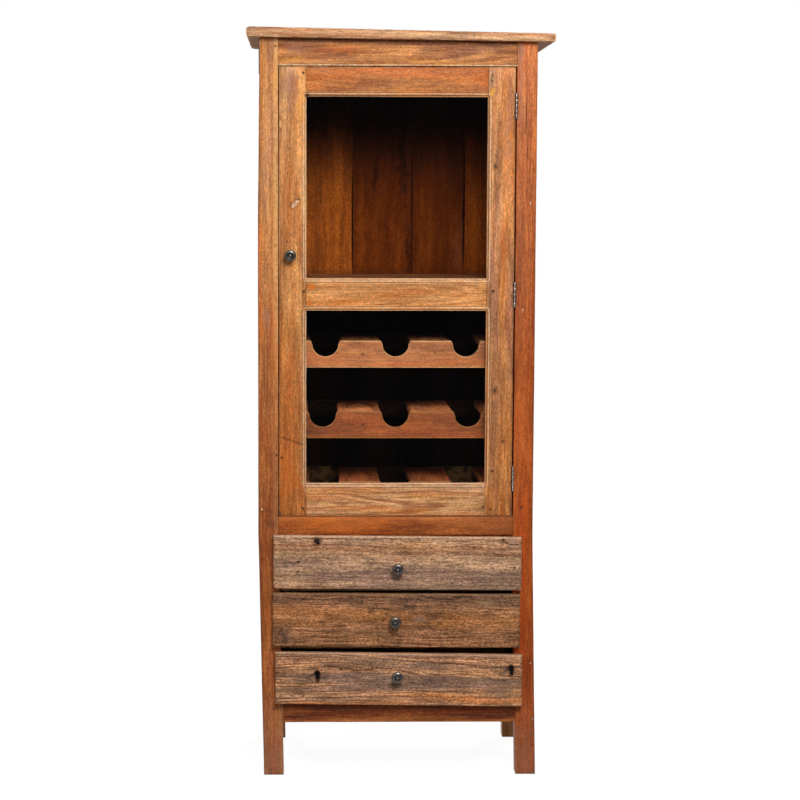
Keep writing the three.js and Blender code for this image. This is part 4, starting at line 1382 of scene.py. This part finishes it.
# %% Stiles and rails
corner_rows = [edge + sign * d for pair in OPENINGS.values() for edge in pair for sign in (-1, 1)
               for d in (0.0, 0.0025, 0.005, 0.0075, 0.009, 0.0105)]
for side, finish in (("left", left_stile_wood), ("right", right_stile_wood)):
    node = "door_stile_" + side
    low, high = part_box(node)
    mid_x, mid_z = (low.x + high.x) / 2, (low.z + high.z) / 2
    inner, toward = (OPEN_LEFT, -1) if side == "left" else (OPEN_RIGHT, 1)
    board(node + "_board", low, high, "zxy", "door", "door_wood", finish, [node],
          edges=(0.0010, 0.0010, 0.0014, 0.0014), snug="r" if side == "left" else "l", rough=0.0003,
          relief=swapped(moulding), rebate=swapped(glass_rebate), tint=swapped(moulding_tint),
          lines=([z - mid_z for z in corner_rows], [inner + toward * d - mid_x for d in MOULD_STOPS]))

door_rails = {"door_top_rail": (top_rail_wood, (-1,)), "door_mid_rail": (mid_rail_wood, (-1, 1)),
              "door_bottom_rail": (low_rail_wood, (1,))}
for node, (finish, sides) in door_rails.items():
    low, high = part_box(node)
    half = (high.z - low.z) / 2
    board(node + "_board", low, high, "xzy", "door", "door_wood", finish, [node],
          edges=(0, 0, 0.0012, 0.0012), snug="se" + "l" * (-1 in sides) + "r" * (1 in sides), rough=0.0003,
          relief=moulding, rebate=glass_rebate, tint=moulding_tint,
          lines=((), [sign * (half - d) for sign in sides for d in MOULD_STOPS]))
print("boards so far", board_count)

# %% [markdown]
# ## Glass
# The panes are flat, so the CAD nodes stay and get a glass finish. Old panes carry faint smears
# that catch the light, which a noise in the roughness gives. Light passes through to the inside
# as if the glass were not there, because traced light through glass would be slow and noisy.

# %% Glass
def make_glass():
    material, g, shader = new_material("old glass")
    shader.inputs["Transmission Weight"].default_value = 1.0
    shader.inputs["Metallic"].default_value = 0.0
    shader.inputs["IOR"].default_value = 1.45
    shader.inputs["Specular IOR Level"].default_value = 0.14
    where = g.add("ShaderNodeTexCoord").outputs["Object"]
    smear = g.noise(g.vector("MULTIPLY", where, (9.0, 1.0, 5.0)), 1.0, 5.0, 0.7, 1.2)
    g.put(g.smooth(smear, 0.5, 0.8, 0.0, 0.05), shader.inputs["Roughness"])
    clean, smeared = (0.97, 0.985, 0.975, 1), (0.90, 0.92, 0.91, 1)
    g.put(g.mix(g.smooth(smear, 0.55, 0.85), clean, smeared), shader.inputs["Base Color"])
    clear = g.add("ShaderNodeBsdfTransparent", {"Color": (0.93, 0.95, 0.94, 1)})
    shadow = g.add("ShaderNodeLightPath").outputs["Is Shadow Ray"]
    blend = g.add("ShaderNodeMixShader", {0: shadow, 1: shader.outputs[0], 2: clear.outputs[0]})
    g.show(blend)
    return material


glass = make_glass()
for node in ("door_glass_lower", "door_glass_upper"):
    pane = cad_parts[node]
    pane.data.materials.clear()
    pane.data.materials.append(glass)
low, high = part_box("door_glass_lower")
print("glass %.0f mm thick" % ((high.y - low.y) * 1000))

# %% [markdown]
# Behind each pane, four thin strips hold it in its rebate, since putty would have dried out. They
# are only seen with the door open.

# %% Glazing strips
STRIP = 0.0075
pane_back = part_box("door_glass_lower")[1].y + SEAT
strip_back = DOOR_BACK - 0.0004
for level, (bottom, top) in OPENINGS.items():
    left, right = OPEN_LEFT - STRIP, OPEN_RIGHT + STRIP
    spans = {
        "foot": ((left, bottom - STRIP), (right, bottom), "xzy"),
        "head": ((left, top), (right, top + STRIP), "xzy"),
        "left": ((left, bottom), (OPEN_LEFT, top), "zxy"),
        "right": ((OPEN_RIGHT, bottom), (right, top), "zxy"),
    }
    for part, ((x0, z0), (x1, z1), axes) in spans.items():
        board(f"glazing_strip_{level}_{part}", (x0, pane_back, z0), (x1, strip_back, z1), axes, "door",
              "door_wood", lane_wood, (), edge=0.0014, step=0.05)
print("strips %.1f mm deep" % ((strip_back - pane_back) * 1000))

# %% [markdown]
# ## Metal
# The knobs are cast in dark metal and turned with a dished face. The hinges are pressed steel, brown
# with age. Both use one recipe: a base tone, a mottled patina and a painted highlight where the
# piece's notes ask for it.

# %% Recipe: aged metal with painted highlights
def metal(name, base, bright, patina, roughness, metallic=0.9, wear=0.5):
    base, bright, patina = map(in_light, (base, bright, patina))
    material, g, shader = new_material(name)
    seed = g.note("seed", "Fac")
    shifted = g.vector("ADD", g.note("grain"), g.join(seed, seed, seed))
    blotch = g.noise(shifted, 160.0, 4.0, 0.65)
    speck = g.noise(shifted, 900.0, 2.0)
    colour = g.mix(g.smooth(blotch, 0.42, 0.62), base, patina)
    # The tint note holds a painted highlight, where the bright tone is mixed in.
    rubbed = g.times(g.note("tint", "Fac"), g.smooth(blotch, 0.3, 0.6, wear, wear * 0.45))
    g.put(g.mix(rubbed, colour, bright), shader.inputs["Base Color"])
    dull = g.smooth(blotch, 0.35, 0.65, roughness - 0.06, roughness + 0.16)
    g.put(g.times_plus(rubbed, -0.12, dull), shader.inputs["Roughness"])
    rusty = g.smooth(blotch, 0.5, 0.7)
    g.put(g.times_plus(rusty, -0.25, metallic), shader.inputs["Metallic"])
    height = g.times_plus(speck, 0.4, g.times(blotch, 0.6))
    relief = g.add("ShaderNodeBump", {"Height": height, "Strength": 0.25, "Distance": 0.0003})
    g.put(relief.outputs[0], shader.inputs["Normal"])
    return material


# The bright tones are the colours of the painted highlights.
knob_metal = metal("dark knob metal", (56, 49, 44), (246, 236, 224), (34, 29, 26), 0.26,
                   metallic=0.6, wear=1.0)
hinge_metal = metal("aged hinge steel", (62, 42, 34), (236, 216, 204), (34, 20, 15), 0.42,
                    metallic=0.45, wear=0.75)
print("metals:", knob_metal.name, "and", hinge_metal.name)

# %% [markdown]
# ## Turned and pressed forms
# A knob, a pin, a knuckle and a screw head are all outlines turned about a line. A screw modifier
# could do it, but with a helper each point can also be told how rubbed it is.

# %% Helpers for metal pieces
METAL_SMOOTH = 50.0


def spun(work, profile, turns, axis, centre):
    """Adds a turned form to a mesh: profile is a list of (radius, distance along the axis)."""
    rings = []
    for radius, reach in profile:
        angles = [2 * math.pi * k / turns for k in range(turns)] if radius > 1e-7 else [0.0]
        ring = []
        for angle in angles:
            a, b = radius * math.cos(angle), radius * math.sin(angle)
            point = Vector((a, -reach, b)) if axis == "y" else Vector((a, b, reach))
            ring.append(work.verts.new(point + centre))
        rings.append(ring)
    for one, two in zip(rings, rings[1:]):
        for k in range(turns):
            j = (k + 1) % turns
            if len(one) == 1:
                work.faces.new((one[0], two[j], two[k]))
            elif len(two) == 1:
                work.faces.new((one[k], one[j], two[0]))
            else:
                work.faces.new((one[k], one[j], two[j], two[k]))


def close_metal(name, work, body, slot, material, replaced, rub):
    """Finishes a metal mesh: outward faces, notes for the material, and a share of painted highlight per
    point.
    """
    bmesh.ops.recalc_face_normals(work, faces=work.faces)
    mesh = new_mesh(name, work)
    points = [v.co.copy() for v in mesh.vertices]
    centre = sum(points, Vector()) / len(points)
    seed = len(name) * 0.61 + centre.z
    write_notes(mesh, [p - centre for p in points], (-1, -1, -1), (1, 1, 1), seed, [rub(p) for p in points])
    add_piece(name, mesh, body, slot, material, replaced, METAL_SMOOTH)


print("metal is shaded smooth below %.0f degrees" % METAL_SMOOTH)

# %% [markdown]
# ## Knobs
# A turned form is drawn as half of its outline and spun. The foot flares where it meets the wood,
# the neck is slim, and the round head has a rolled rim and a shallow dish with a small centre dot.
# The top of the rim carries a painted highlight, and the rest of the rim and the dot a fainter one.

# %% Outline of a knob
# Radius and height above the wood, in millimetres: foot, neck, head, rim, dish and dot
KNOB_OUTLINE = (
    (0, 0), (7.4, 0), (8.0, 0.5), (8.0, 1.5), (7.4, 2.2), (6.2, 3.0),
    (5.6, 4.4), (5.4, 7), (5.5, 11), (6.2, 13.4), (7.8, 15.2),
    (9.8, 16.4), (11.6, 17.3), (12.6, 18.5), (13.0, 20.0), (13.0, 21.4), (12.8, 22.6), (12.2, 23.7),
    (11.2, 24.6), (9.9, 25.3), (8.4, 25.8), (7.4, 25.9), (6.8, 25.6),
    (6.2, 25.2), (5.0, 25.0), (2.2, 24.95),
    (1.6, 25.3), (0.9, 25.6), (0, 25.7))
KNOB_TURNS = 48
RIM_RADIUS, RIM_HEIGHT, RIM_REACH = 10.4, 24.8, 3.4
print("knob %.0f mm wide" % (2 * max(radius for radius, height in KNOB_OUTLINE)))

# %% [markdown]
# The outline stands on the box of each CAD knob, so the knob sits on its drawer wherever that is.

# %% Knobs
def knob(node, body):
    low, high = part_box(node)
    foot = Vector(((low.x + high.x) / 2, high.y, (low.z + high.z) / 2))
    work = bmesh.new()
    spun(work, [(r / 1000, h / 1000) for r, h in KNOB_OUTLINE], KNOB_TURNS, "y", foot)

    def rub(point):
        """Painted highlight: bright on the top of the rim, faintly round the rest of it, and on the dot."""
        reach = (foot.y - point.y) * 1000
        radius = math.hypot(point.x - foot.x, point.z - foot.z) * 1000
        on_top = max(0.0, (point.z - foot.z) * 1000 / 11.4) ** 4
        rim = max(0.0, 1.0 - math.hypot(radius - RIM_RADIUS, reach - RIM_HEIGHT) / RIM_REACH)
        return max(rim * (0.14 + 0.86 * on_top), 0.3 if radius < 1.7 and reach > 24 else 0.0)

    close_metal(node + "_turned", work, body, "knob_metal", knob_metal, [node], rub)


knob("door_knob", "door")
for drawer in (1, 2, 3):
    knob(f"drawer_{drawer}_knob", f"drawer_{drawer}")
print("knobs stand %.1f mm proud" % max(height for radius, height in KNOB_OUTLINE))

# %% [markdown]
# ## Hinges
# Each butt hinge is two leaves whose rolled knuckles take turns on one pin. The frame leaf holds
# the odd knuckles and the pin, the door leaf the even ones. Three countersunk screws show in each
# leaf once the door is open.

# %% Parts of a hinge
KNUCKLES = 5
BARREL = 0.0035
LEAF = 0.0018
LEAF_OFFSET = 0.0015
KNUCKLE_GAP = 0.0004
PIN_RADIUS = 0.0017
SOFT_END = 0.0005
KNUCKLE_TURNS, PIN_TURNS, SCREW_TURNS = 24, 16, 20
SCREWS = (0.18, 0.5, 0.82)
SCREW_HEAD = ((0.0, -0.00025), (0.0009, -0.0002), (0.0031, 0.0), (0.0033, 0.0004), (0.0, 0.0004))


def plate(work, low, high, edge):
    """A flat plate between two corners, with softened rims."""
    made = bmesh.ops.create_cube(work, size=1.0)["verts"]
    for vertex in made:
        for k in range(3):
            vertex.co[k] = low[k] if vertex.co[k] < 0 else high[k]
    rims = list({e for v in made for e in v.link_edges})
    bmesh.ops.bevel(work, geom=rims, offset=edge, segments=2, profile=0.7, affect="EDGES")


def knuckle(work, axis_x, axis_y, low, high):
    """One rolled knuckle, with softened ends."""
    tall = high - low
    inner = BARREL - SOFT_END
    outline = [(0, 0), (inner, 0), (BARREL, SOFT_END), (BARREL, tall - SOFT_END), (inner, tall), (0, tall)]
    spun(work, outline, KNUCKLE_TURNS, "z", Vector((axis_x, axis_y, low)))


def screw(work, face_x, sign, y, z):
    """A countersunk head, turned upright and then laid over so that it faces out of the leaf."""
    before = set(work.verts)
    spun(work, SCREW_HEAD, SCREW_TURNS, "z", Vector())
    for vertex in set(work.verts) - before:
        a, b, c = vertex.co
        vertex.co = Vector((face_x + sign * (c + 0.0001), y + a, z + b))


print("screws in each leaf:", len(SCREWS))

# %% [markdown]
# One function makes both leaves of a hinge, because they mirror each other about the pin. The
# knuckles carry a painted highlight only along the middle of the side that faces the room.

# %% Hinges
def hinge(place):
    frame_low, frame_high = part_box(f"hinge_{place}_frame_leaf")
    door_low, door_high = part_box(f"hinge_{place}_door_leaf")
    x = (min(frame_low.x, door_low.x) + max(frame_high.x, door_high.x)) / 2
    y = frame_low.y + BARREL
    foot, head = frame_low.z, frame_high.z
    pitch = (head - foot) / KNUCKLES
    for side, body, sign in (("frame", "carcass", 1), ("door", "door", -1)):
        work = bmesh.new()
        inner = x + sign * LEAF_OFFSET
        x0, x1 = sorted((inner, inner + sign * LEAF))
        plate(work, (x0, y + BARREL + 0.0006, foot), (x1, frame_high.y, head), 0.0003)
        for k in range(0 if side == "frame" else 1, KNUCKLES, 2):
            low = foot + k * pitch + KNUCKLE_GAP / 2
            high = low + pitch - KNUCKLE_GAP
            knuckle(work, x, y, low, high)
            plate(work, (x0, y, low), (x1, y + BARREL + 0.001, high), 0.0002)
        if side == "frame":
            reach = head - foot - 2 * KNUCKLE_GAP
            pin = [(0, 0), (PIN_RADIUS, 0), (PIN_RADIUS, reach), (0, reach)]
            spun(work, pin, PIN_TURNS, "z", Vector((x, y, foot + KNUCKLE_GAP)))
        for share in SCREWS:
            aside = 0.0025 if share == 0.5 else 0.0
            screw(work, inner, sign, y + 0.012 + aside, foot + (head - foot) * share)

        # A painted highlight along the middle of each knuckle's front.
        def rub(point):
            out = math.hypot(point.x - x, point.y - y)
            front = out > BARREL * 0.9 and point.y < y - BARREL * 0.93
            return 1.0 if front else 0.0

        node = f"hinge_{place}_{side}_leaf"
        close_metal(node + "_pressed", work, body, "hinge_steel", hinge_metal, [node], rub)


for place in ("top", "middle", "bottom"):
    hinge(place)
print("knuckles in each hinge:", KNUCKLES)

# %% [markdown]
# ## Woods of the drawer fronts
# The fronts are the roughest boards: weathered planks, planed just enough to show their colour.
# They hang a little askew, and their marks are read off the hung fronts, so a helper takes the
# slant out again before the marks are laid on the straight board.

# %% Slant of the fronts
DRAWER_FALLS = {1: 0.005, 2: 0.004, 3: 0.008}


def on_front(drawer, marks):
    """Marks are read off the hung front; this takes its slant out again."""
    low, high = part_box(f"drawer_{drawer}_front")
    slant = DRAWER_FALLS[drawer] / (high.x - low.x)
    return [(kind, x, z + slant * (x - low.x), *rest) for kind, x, z, *rest in marks]


def front_middle(drawer):
    low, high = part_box(f"drawer_{drawer}_front")
    return (low.x + high.x) / 2, (low.z + DRAWER_FALLS[drawer] + high.z) / 2


def front_wood(drawer, name, dark, light, marks, **values):
    """What the woods of the three fronts have in common."""
    return wood(
        name, dark, light, tinge=0.25, roughness=0.62, coat=0.0, wear=0.6, centre=front_middle(drawer),
        marks=on_front(drawer, marks), **values)


print("fronts fall to the right by, in mm:", [round(fall * 1000) for fall in DRAWER_FALLS.values()])

# %% [markdown]
# The first front is grey and fine grained, the second brown and stained, with an arc of cracks, and
# the third the most colourful, with two old keyholes in their dark stains.

# %% Woods of the drawer fronts
wood_1 = front_wood(
    1, "first drawer wood", (132, 89, 66), (229, 181, 140), warm=(215, 148, 95),
    warm_share=0.45, cool=(157, 124, 106), cool_share=0.6, rings=420, heart=0.16, taper=0.004,
    wander=0.006, ring_share=0.4, contrast=1.25, vessels=0.85, speckle=0.52, mottle=0.20, bump=0.7,
    worn=(255, 214, 178),
    marks=[("hole", -0.1865, 0.5503, (0.0066, 0.0060)), ("hole", -0.1835, 0.5453, (0.0036, 0.0036)),
           ("dust", 0.257, 0.5490, (0.020, 0.010), 0.8), ("crack", 0.2395, 0.5515, (0.0035, 0.0028)),
           ("crack", 0.2465, 0.5455, (0.0042, 0.0012)), ("crack", 0.2565, 0.5415, (0.0060, 0.0011)),
           ("crack", 0.2690, 0.5418, (0.0050, 0.0011)), ("nail", -0.2285, 0.5021, 0.0024),
           ("nail", -0.2299, 0.4790, 0.0022), ("nail", 0.2653, 0.4877, 0.0026),
           ("orange", -0.002, 0.5075, (0.009, 0.003), 0.6), ("crack", -0.116, 0.467, (0.03, 0.0011), 0.7)])
wood_2 = front_wood(
    2, "second drawer wood", (99, 58, 31), (210, 148, 102), warm=(198, 127, 70),
    warm_share=0.45, cool=(125, 93, 72), cool_share=0.6, rings=240, heart=0.04, taper=0.03,
    wander=0.03, ring_share=0.42, contrast=1.1, vessels=0.8, speckle=0.56, mottle=0.30, bump=0.6,
    worn=(216, 172, 126),
    marks=[("crack", 0.054, 0.4228, (0.010, 0.0011)), ("crack", 0.072, 0.4192, (0.011, 0.0012)),
           ("crack", 0.094, 0.4160, (0.013, 0.0013)), ("crack", 0.117, 0.4155, (0.012, 0.0012)),
           ("crack", 0.138, 0.4190, (0.011, 0.0011)), ("crack", 0.155, 0.4228, (0.009, 0.0010)),
           ("stain", -0.2618, 0.3286, (0.022, 0.014), 0.7),
           ("stain", -0.086, 0.4048, (0.010, 0.006), 0.75), ("stain", -0.063, 0.3886, (0.010, 0.007), 0.7),
           ("stain", 0.03, 0.392, (0.05, 0.012), 0.35), ("stain", 0.074, 0.376, (0.03, 0.018), 0.5),
           ("grey", 0.046, 0.367, (0.02, 0.01), 0.5), ("nail", -0.2162, 0.4166, (0.005, 0.002)),
           ("bleach", 0.20, 0.406, (0.03, 0.008), 0.3)])
wood_3 = front_wood(
    3, "third drawer wood", (125, 77, 54), (250, 187, 136), warm=(247, 149, 79),
    warm_share=0.6, cool=(150, 121, 106), cool_share=0.7, rings=330, heart=0.06, taper=0.012,
    wander=0.02, ring_share=0.45, contrast=1.3, vessels=0.85, speckle=0.50, mottle=0.28, bump=0.8,
    worn=(246, 200, 164),
    marks=[("stain", -0.190, 0.238, (0.030, 0.009), 0.75), ("stain", 0.252, 0.246, (0.034, 0.010), 0.75),
           ("hole", -0.1852, 0.2438, 0.0056), ("hole", -0.1844, 0.2338, (0.0040, 0.0078)),
           ("hole", 0.2597, 0.2557, 0.0056), ("hole", 0.2605, 0.2457, (0.0040, 0.0078)),
           ("grey", 0.236, 0.204, (0.04, 0.018), 0.6), ("nail", -0.1314, 0.2539, 0.0024),
           ("crack", -0.16, 0.260, (0.018, 0.0012), 0.8), ("crack", 0.13, 0.200, (0.06, 0.0011), 0.8),
           ("stain", 0.05, 0.194, (0.02, 0.02), 0.3)])
front_woods = {1: wood_1, 2: wood_2, 3: wood_3}
print("materials:", len(bpy.data.materials))

# %% [markdown]
# ## Drawer fronts
# The fronts lie over the posts. Two old keyholes in the lowest one are real recesses, cut by the
# same kind of depth function that shapes the door's moulding, with rows of points close round them.

# %% Keyholes
KEYHOLES = {3: ((-0.1852, 0.2388), (0.2597, 0.2507))}
KEYHOLE_DEPTH, KEYHOLE_RIM, KEYHOLE_STEEP = 0.010, 0.0005, 14
EYE_RADIUS, EYE_UP = 0.0058, 0.005
SLOT_HALF_WIDTH, SLOT_HALF_HEIGHT, SLOT_DOWN, SLOT_ASIDE = 0.0036, 0.0072, 0.005, 0.0008


def keyhole_depth(x, z, holes):
    """A round eye with a slot below it, cut with a soft rim."""
    depth = 0.0
    for hole_x, hole_z in holes:
        eye = math.hypot(x - hole_x, z - hole_z - EYE_UP) - EYE_RADIUS
        aside = abs(x - hole_x - SLOT_ASIDE) - SLOT_HALF_WIDTH
        inside = min(eye, max(aside, abs(z - hole_z + SLOT_DOWN) - SLOT_HALF_HEIGHT))
        if inside < KEYHOLE_RIM:
            depth = max(depth, min(KEYHOLE_DEPTH, (KEYHOLE_RIM - inside) * KEYHOLE_STEEP))
    return depth


print("keyholes:", sum(len(places) for places in KEYHOLES.values()))

# %% [markdown]
# Each front is made straight, and is then tilted point by point. The first one has lost its lower
# left corner, which is rounded off in the same step.

# %% Drawer fronts
WORN_CORNER = 0.010
# The pale top lines of the fronts are partly rubbed and partly painted highlight.
RUBBED_TOPS = {1: 1.0, 2: 0.35, 3: 0.8}
RUBBED_LINE, RUBBED_SOFT = 0.0042, 0.0018
HOLE_ROWS = [k * 0.0009 for k in range(-14, 15)]
CORNER_ROWS = [k * 0.0014 for k in range(8)]

for drawer in (1, 2, 3):
    node = f"drawer_{drawer}_front"
    low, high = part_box(node)
    fall = DRAWER_FALLS[drawer]
    flat_low = Vector((low.x, low.y, low.z + fall))
    mid_x, mid_z = front_middle(drawer)
    holes = [(x, z + fall * (x - low.x) / (high.x - low.x)) for x, z in KEYHOLES.get(drawer, ())]
    corner = Vector((low.x + WORN_CORNER, flat_low.z + WORN_CORNER))

    def hung(point, low=low, high=high, fall=fall, corner=corner, worn_off=drawer == 1):
        """Tilts the front, and rounds off the lower left corner of the first one."""
        x, z = point.x, point.z
        aside, below = corner.x - x, corner.y - z
        reach = math.hypot(aside, below)
        if worn_off and aside > 0 and below > 0 and reach > WORN_CORNER:
            x = corner.x - aside * WORN_CORNER / reach
            z = corner.y - below * WORN_CORNER / reach
        return Vector((x, point.y, z - fall * (point.x - low.x) / (high.x - low.x)))

    def rubbing(x, z, holes=holes, top=high.z, share=RUBBED_TOPS[drawer]):
        """Painted shade in the keyholes, and a pale line along the top edge, partly rubbed and partly
        painted highlight.
        """
        if keyhole_depth(x, z, holes) > 0.001:
            return -1.0
        return share * min(1.0, max(0.0, (RUBBED_LINE - top + z) / RUBBED_SOFT))

    near_corner = CORNER_ROWS if drawer == 1 else []
    columns = [x + f - mid_x for x, z in holes for f in HOLE_ROWS]
    columns += [low.x + f - mid_x for f in near_corner]
    rows = [z + f - mid_z for x, z in holes for f in HOLE_ROWS]
    rows += [flat_low.z + f - mid_z for f in near_corner]
    rows += [high.z - RUBBED_LINE + RUBBED_SOFT - mid_z, high.z - RUBBED_LINE - mid_z]
    board(node + "_plank", flat_low, high, "xzy", f"drawer_{drawer}", "drawer_wood", front_woods[drawer],
          [node], edges=(0.0018, 0.0018, 0.0014, 0.0014), step=0.014, rough=0.0009, place=hung,
          relief=(lambda x, z, holes=holes: keyhole_depth(x, z, holes)) if holes else None,
          tint=rubbing, lines=(columns, rows))
print("boards so far", board_count)

# %% [markdown]
# ## Drawer boxes
# The boxes behind the fronts are plain: two sides, a back and a bottom, butted and nailed. Only an
# open drawer shows them, but then the thickness of the walls tells that it is a real box.

# %% Drawer boxes
BOX_WALL, BOX_FLOOR = 0.012, 0.008
for drawer in (1, 2, 3):
    node = f"drawer_{drawer}_box"
    low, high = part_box(node)
    inner_left = low.x + BOX_WALL + SEAT
    inner_right = high.x - BOX_WALL - SEAT
    back_y = high.y - BOX_WALL
    parts = {
        "left": (low, (low.x + BOX_WALL, high.y, high.z), "yzx"),
        "right": ((high.x - BOX_WALL, low.y, low.z), high, "yzx"),
        "back": ((inner_left, back_y, low.z), (inner_right, high.y, high.z), "xzy"),
        "bottom": ((inner_left, low.y, low.z), (inner_right, back_y - SEAT, low.z + BOX_FLOOR), "xyz"),
    }
    for part, (first, last, axes) in parts.items():
        board(f"drawer_{drawer}_box_{part}", first, last, axes, f"drawer_{drawer}", "box_wood",
              plain_wood, [node], edge=0.001, step=0.03)
print("boards in all", board_count)

# %% [markdown]
# ## Floor
# The photograph is a cut-out on white. The floor is pale and takes the cabinet's soft shadow. It
# could be lit until it is white, but that light would fall on the wood too. So it glows, and only
# for the camera and for what glass and metal mirror.

# %% Floor
FLOOR_RADIUS = 3.2
FLOOR_GLOW = 0.93


def make_floor():
    work = bmesh.new()
    bmesh.ops.create_circle(work, cap_ends=True, segments=96, radius=FLOOR_RADIUS)
    mesh = new_mesh("studio_floor", work)
    material, g, shader = new_material("pale floor")
    shader.inputs["Base Color"].default_value = (0.16, 0.16, 0.16, 1)
    shader.inputs["Roughness"].default_value = 1.0
    shader.inputs["Specular IOR Level"].default_value = 0.0
    path = g.add("ShaderNodeLightPath").outputs
    mirrored = g.math("MAXIMUM", path["Is Glossy Ray"], path["Is Transmission Ray"])
    seen = g.math("MAXIMUM", path["Is Camera Ray"], mirrored)
    glow = g.add("ShaderNodeEmission", {"Color": (1, 1, 1, 1), "Strength": g.times(seen, FLOOR_GLOW)})
    both = g.add("ShaderNodeAddShader", {0: shader.outputs[0], 1: glow.outputs[0]})
    g.show(both)
    mesh.materials.append(material)
    floor = new_object("studio_floor", mesh)
    floor.location.z = -0.0005
    floor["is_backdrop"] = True


make_floor()
print("floor %.1f m wide" % (2 * FLOOR_RADIUS))

# %% [markdown]
# ## Background
# The world turns white in the same way. What falls on the wood is a weak even light, and what
# metal and glass mirror is a room that is dark in front and brighter behind the cabinet.

# %% World
SOFT_LIGHT = 0.11
MIRRORED_FRONT, MIRRORED_BACK = 0.02, 0.4


def make_world():
    world = bpy.data.worlds.new("studio")
    bpy.context.scene.world = world
    world.use_nodes = True
    g = Graph(world.node_tree)
    g.tree.nodes.clear()
    path = g.add("ShaderNodeLightPath").outputs
    toward = g.split(g.add("ShaderNodeTexCoord").outputs["Generated"])
    onward = g.times(path["Is Transmission Ray"], g.smooth(toward["Y"], -0.5, 0.0))
    seen = g.math("MAXIMUM", path["Is Camera Ray"], onward)
    room = g.smooth(toward["Y"], -0.95, -0.2, MIRRORED_FRONT, MIRRORED_BACK)
    soft = g.add("ShaderNodeBackground", {"Color": (1, 1, 1, 1), "Strength": SOFT_LIGHT})
    mirror = g.add("ShaderNodeBackground", {"Color": (1, 1, 1, 1), "Strength": room})
    white = g.add("ShaderNodeBackground", {"Color": (1, 1, 1, 1), "Strength": 1.0})
    bounced = g.math("MAXIMUM", path["Is Glossy Ray"], path["Is Transmission Ray"])
    first = g.add("ShaderNodeMixShader", {0: bounced, 1: soft.outputs[0], 2: mirror.outputs[0]})
    last = g.add("ShaderNodeMixShader", {0: seen, 1: first.outputs[0], 2: white.outputs[0]})
    output = g.add("ShaderNodeOutputWorld")
    g.put(last.outputs[0], output.inputs["Surface"])


make_world()
print("world:", bpy.context.scene.world.name)

# %% [markdown]
# ## Lamps
# One large soft lamp hangs in front, above the cabinet and a little to the right. It is near, so
# the wood is brighter at the top than at the feet, as in the photograph. A weak lamp fills the
# left, and two behind light the back for other views.

# %% Lamps
def lamp(name, place, aim, size, power):
    data = bpy.data.lights.new(name, "AREA")
    data.shape = "DISK"
    data.size = size
    data.energy = power
    made = new_object(name, data)
    made.location = place
    made.rotation_euler = (Vector(aim) - Vector(place)).to_track_quat("-Z", "Y").to_euler()
    made.visible_camera = False


lamp("key lamp", (0.34, -2.56, 2.42), (0.0, 0.0, 1.1), 1.15, 62)
lamp("left lamp", (-3.2, -3.4, 1.6), (0.0, 0.0, 0.9), 1.8, 24)
lamp("back lamp left", (-1.9, 2.9, 2.0), (0.0, 0.0, 0.9), 1.4, 48)
lamp("back lamp right", (1.9, 2.9, 2.0), (0.0, 0.0, 0.9), 1.4, 48)
print("lamps:", ", ".join(light.name for light in bpy.data.lights))

# %% [markdown]
# ## Camera
# The view is fitted to the photograph: the lens from how quickly the posts draw together, the
# height from where levels turn into lines, and the place from the gap between front and rear legs.

# %% Camera
IMAGE = 800
SENSOR = 36.0
FOCAL_PIXELS = 2060
AXIS_X = 352.7
YAW, PITCH, ROLL_TILT = 1.2, 5.6, 0.15
CAMERA_PLACE = (-0.2026, -4.8181, 1.3273)
cam_data = bpy.data.cameras.new("camera")
cam_data.sensor_width = SENSOR
cam_data.lens = SENSOR * FOCAL_PIXELS / IMAGE
cam_data.shift_x = (IMAGE / 2 - AXIS_X) / IMAGE
camera = new_object("camera", cam_data)
yaw, pitch, tilt = (math.radians(v) for v in (YAW, PITCH, ROLL_TILT))
ahead = Vector((math.sin(yaw) * math.cos(pitch), math.cos(yaw) * math.cos(pitch), -math.sin(pitch)))
level = Vector((math.cos(yaw), -math.sin(yaw), 0.0))
rise = level.cross(ahead)
right = math.cos(tilt) * level + math.sin(tilt) * rise
up = -math.sin(tilt) * level + math.cos(tilt) * rise
turned = Matrix(((right.x, up.x, -ahead.x), (right.y, up.y, -ahead.y), (right.z, up.z, -ahead.z)))
camera.matrix_world = Matrix.Translation(CAMERA_PLACE) @ turned.to_4x4()
bpy.context.scene.camera = camera
bpy.context.scene.view_settings.view_transform = "Standard"
print("camera %.2f m in front, with a lens of %.0f mm" % (-CAMERA_PLACE[1], cam_data.lens))

# %% [markdown]
# ## Sizes
# The finished look must not be larger than the CAD model, so both boxes are written side by side.

# %% Sizes and end
low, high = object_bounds()
print("visual box", [round(v, 4) for v in low], [round(v, 4) for v in high])
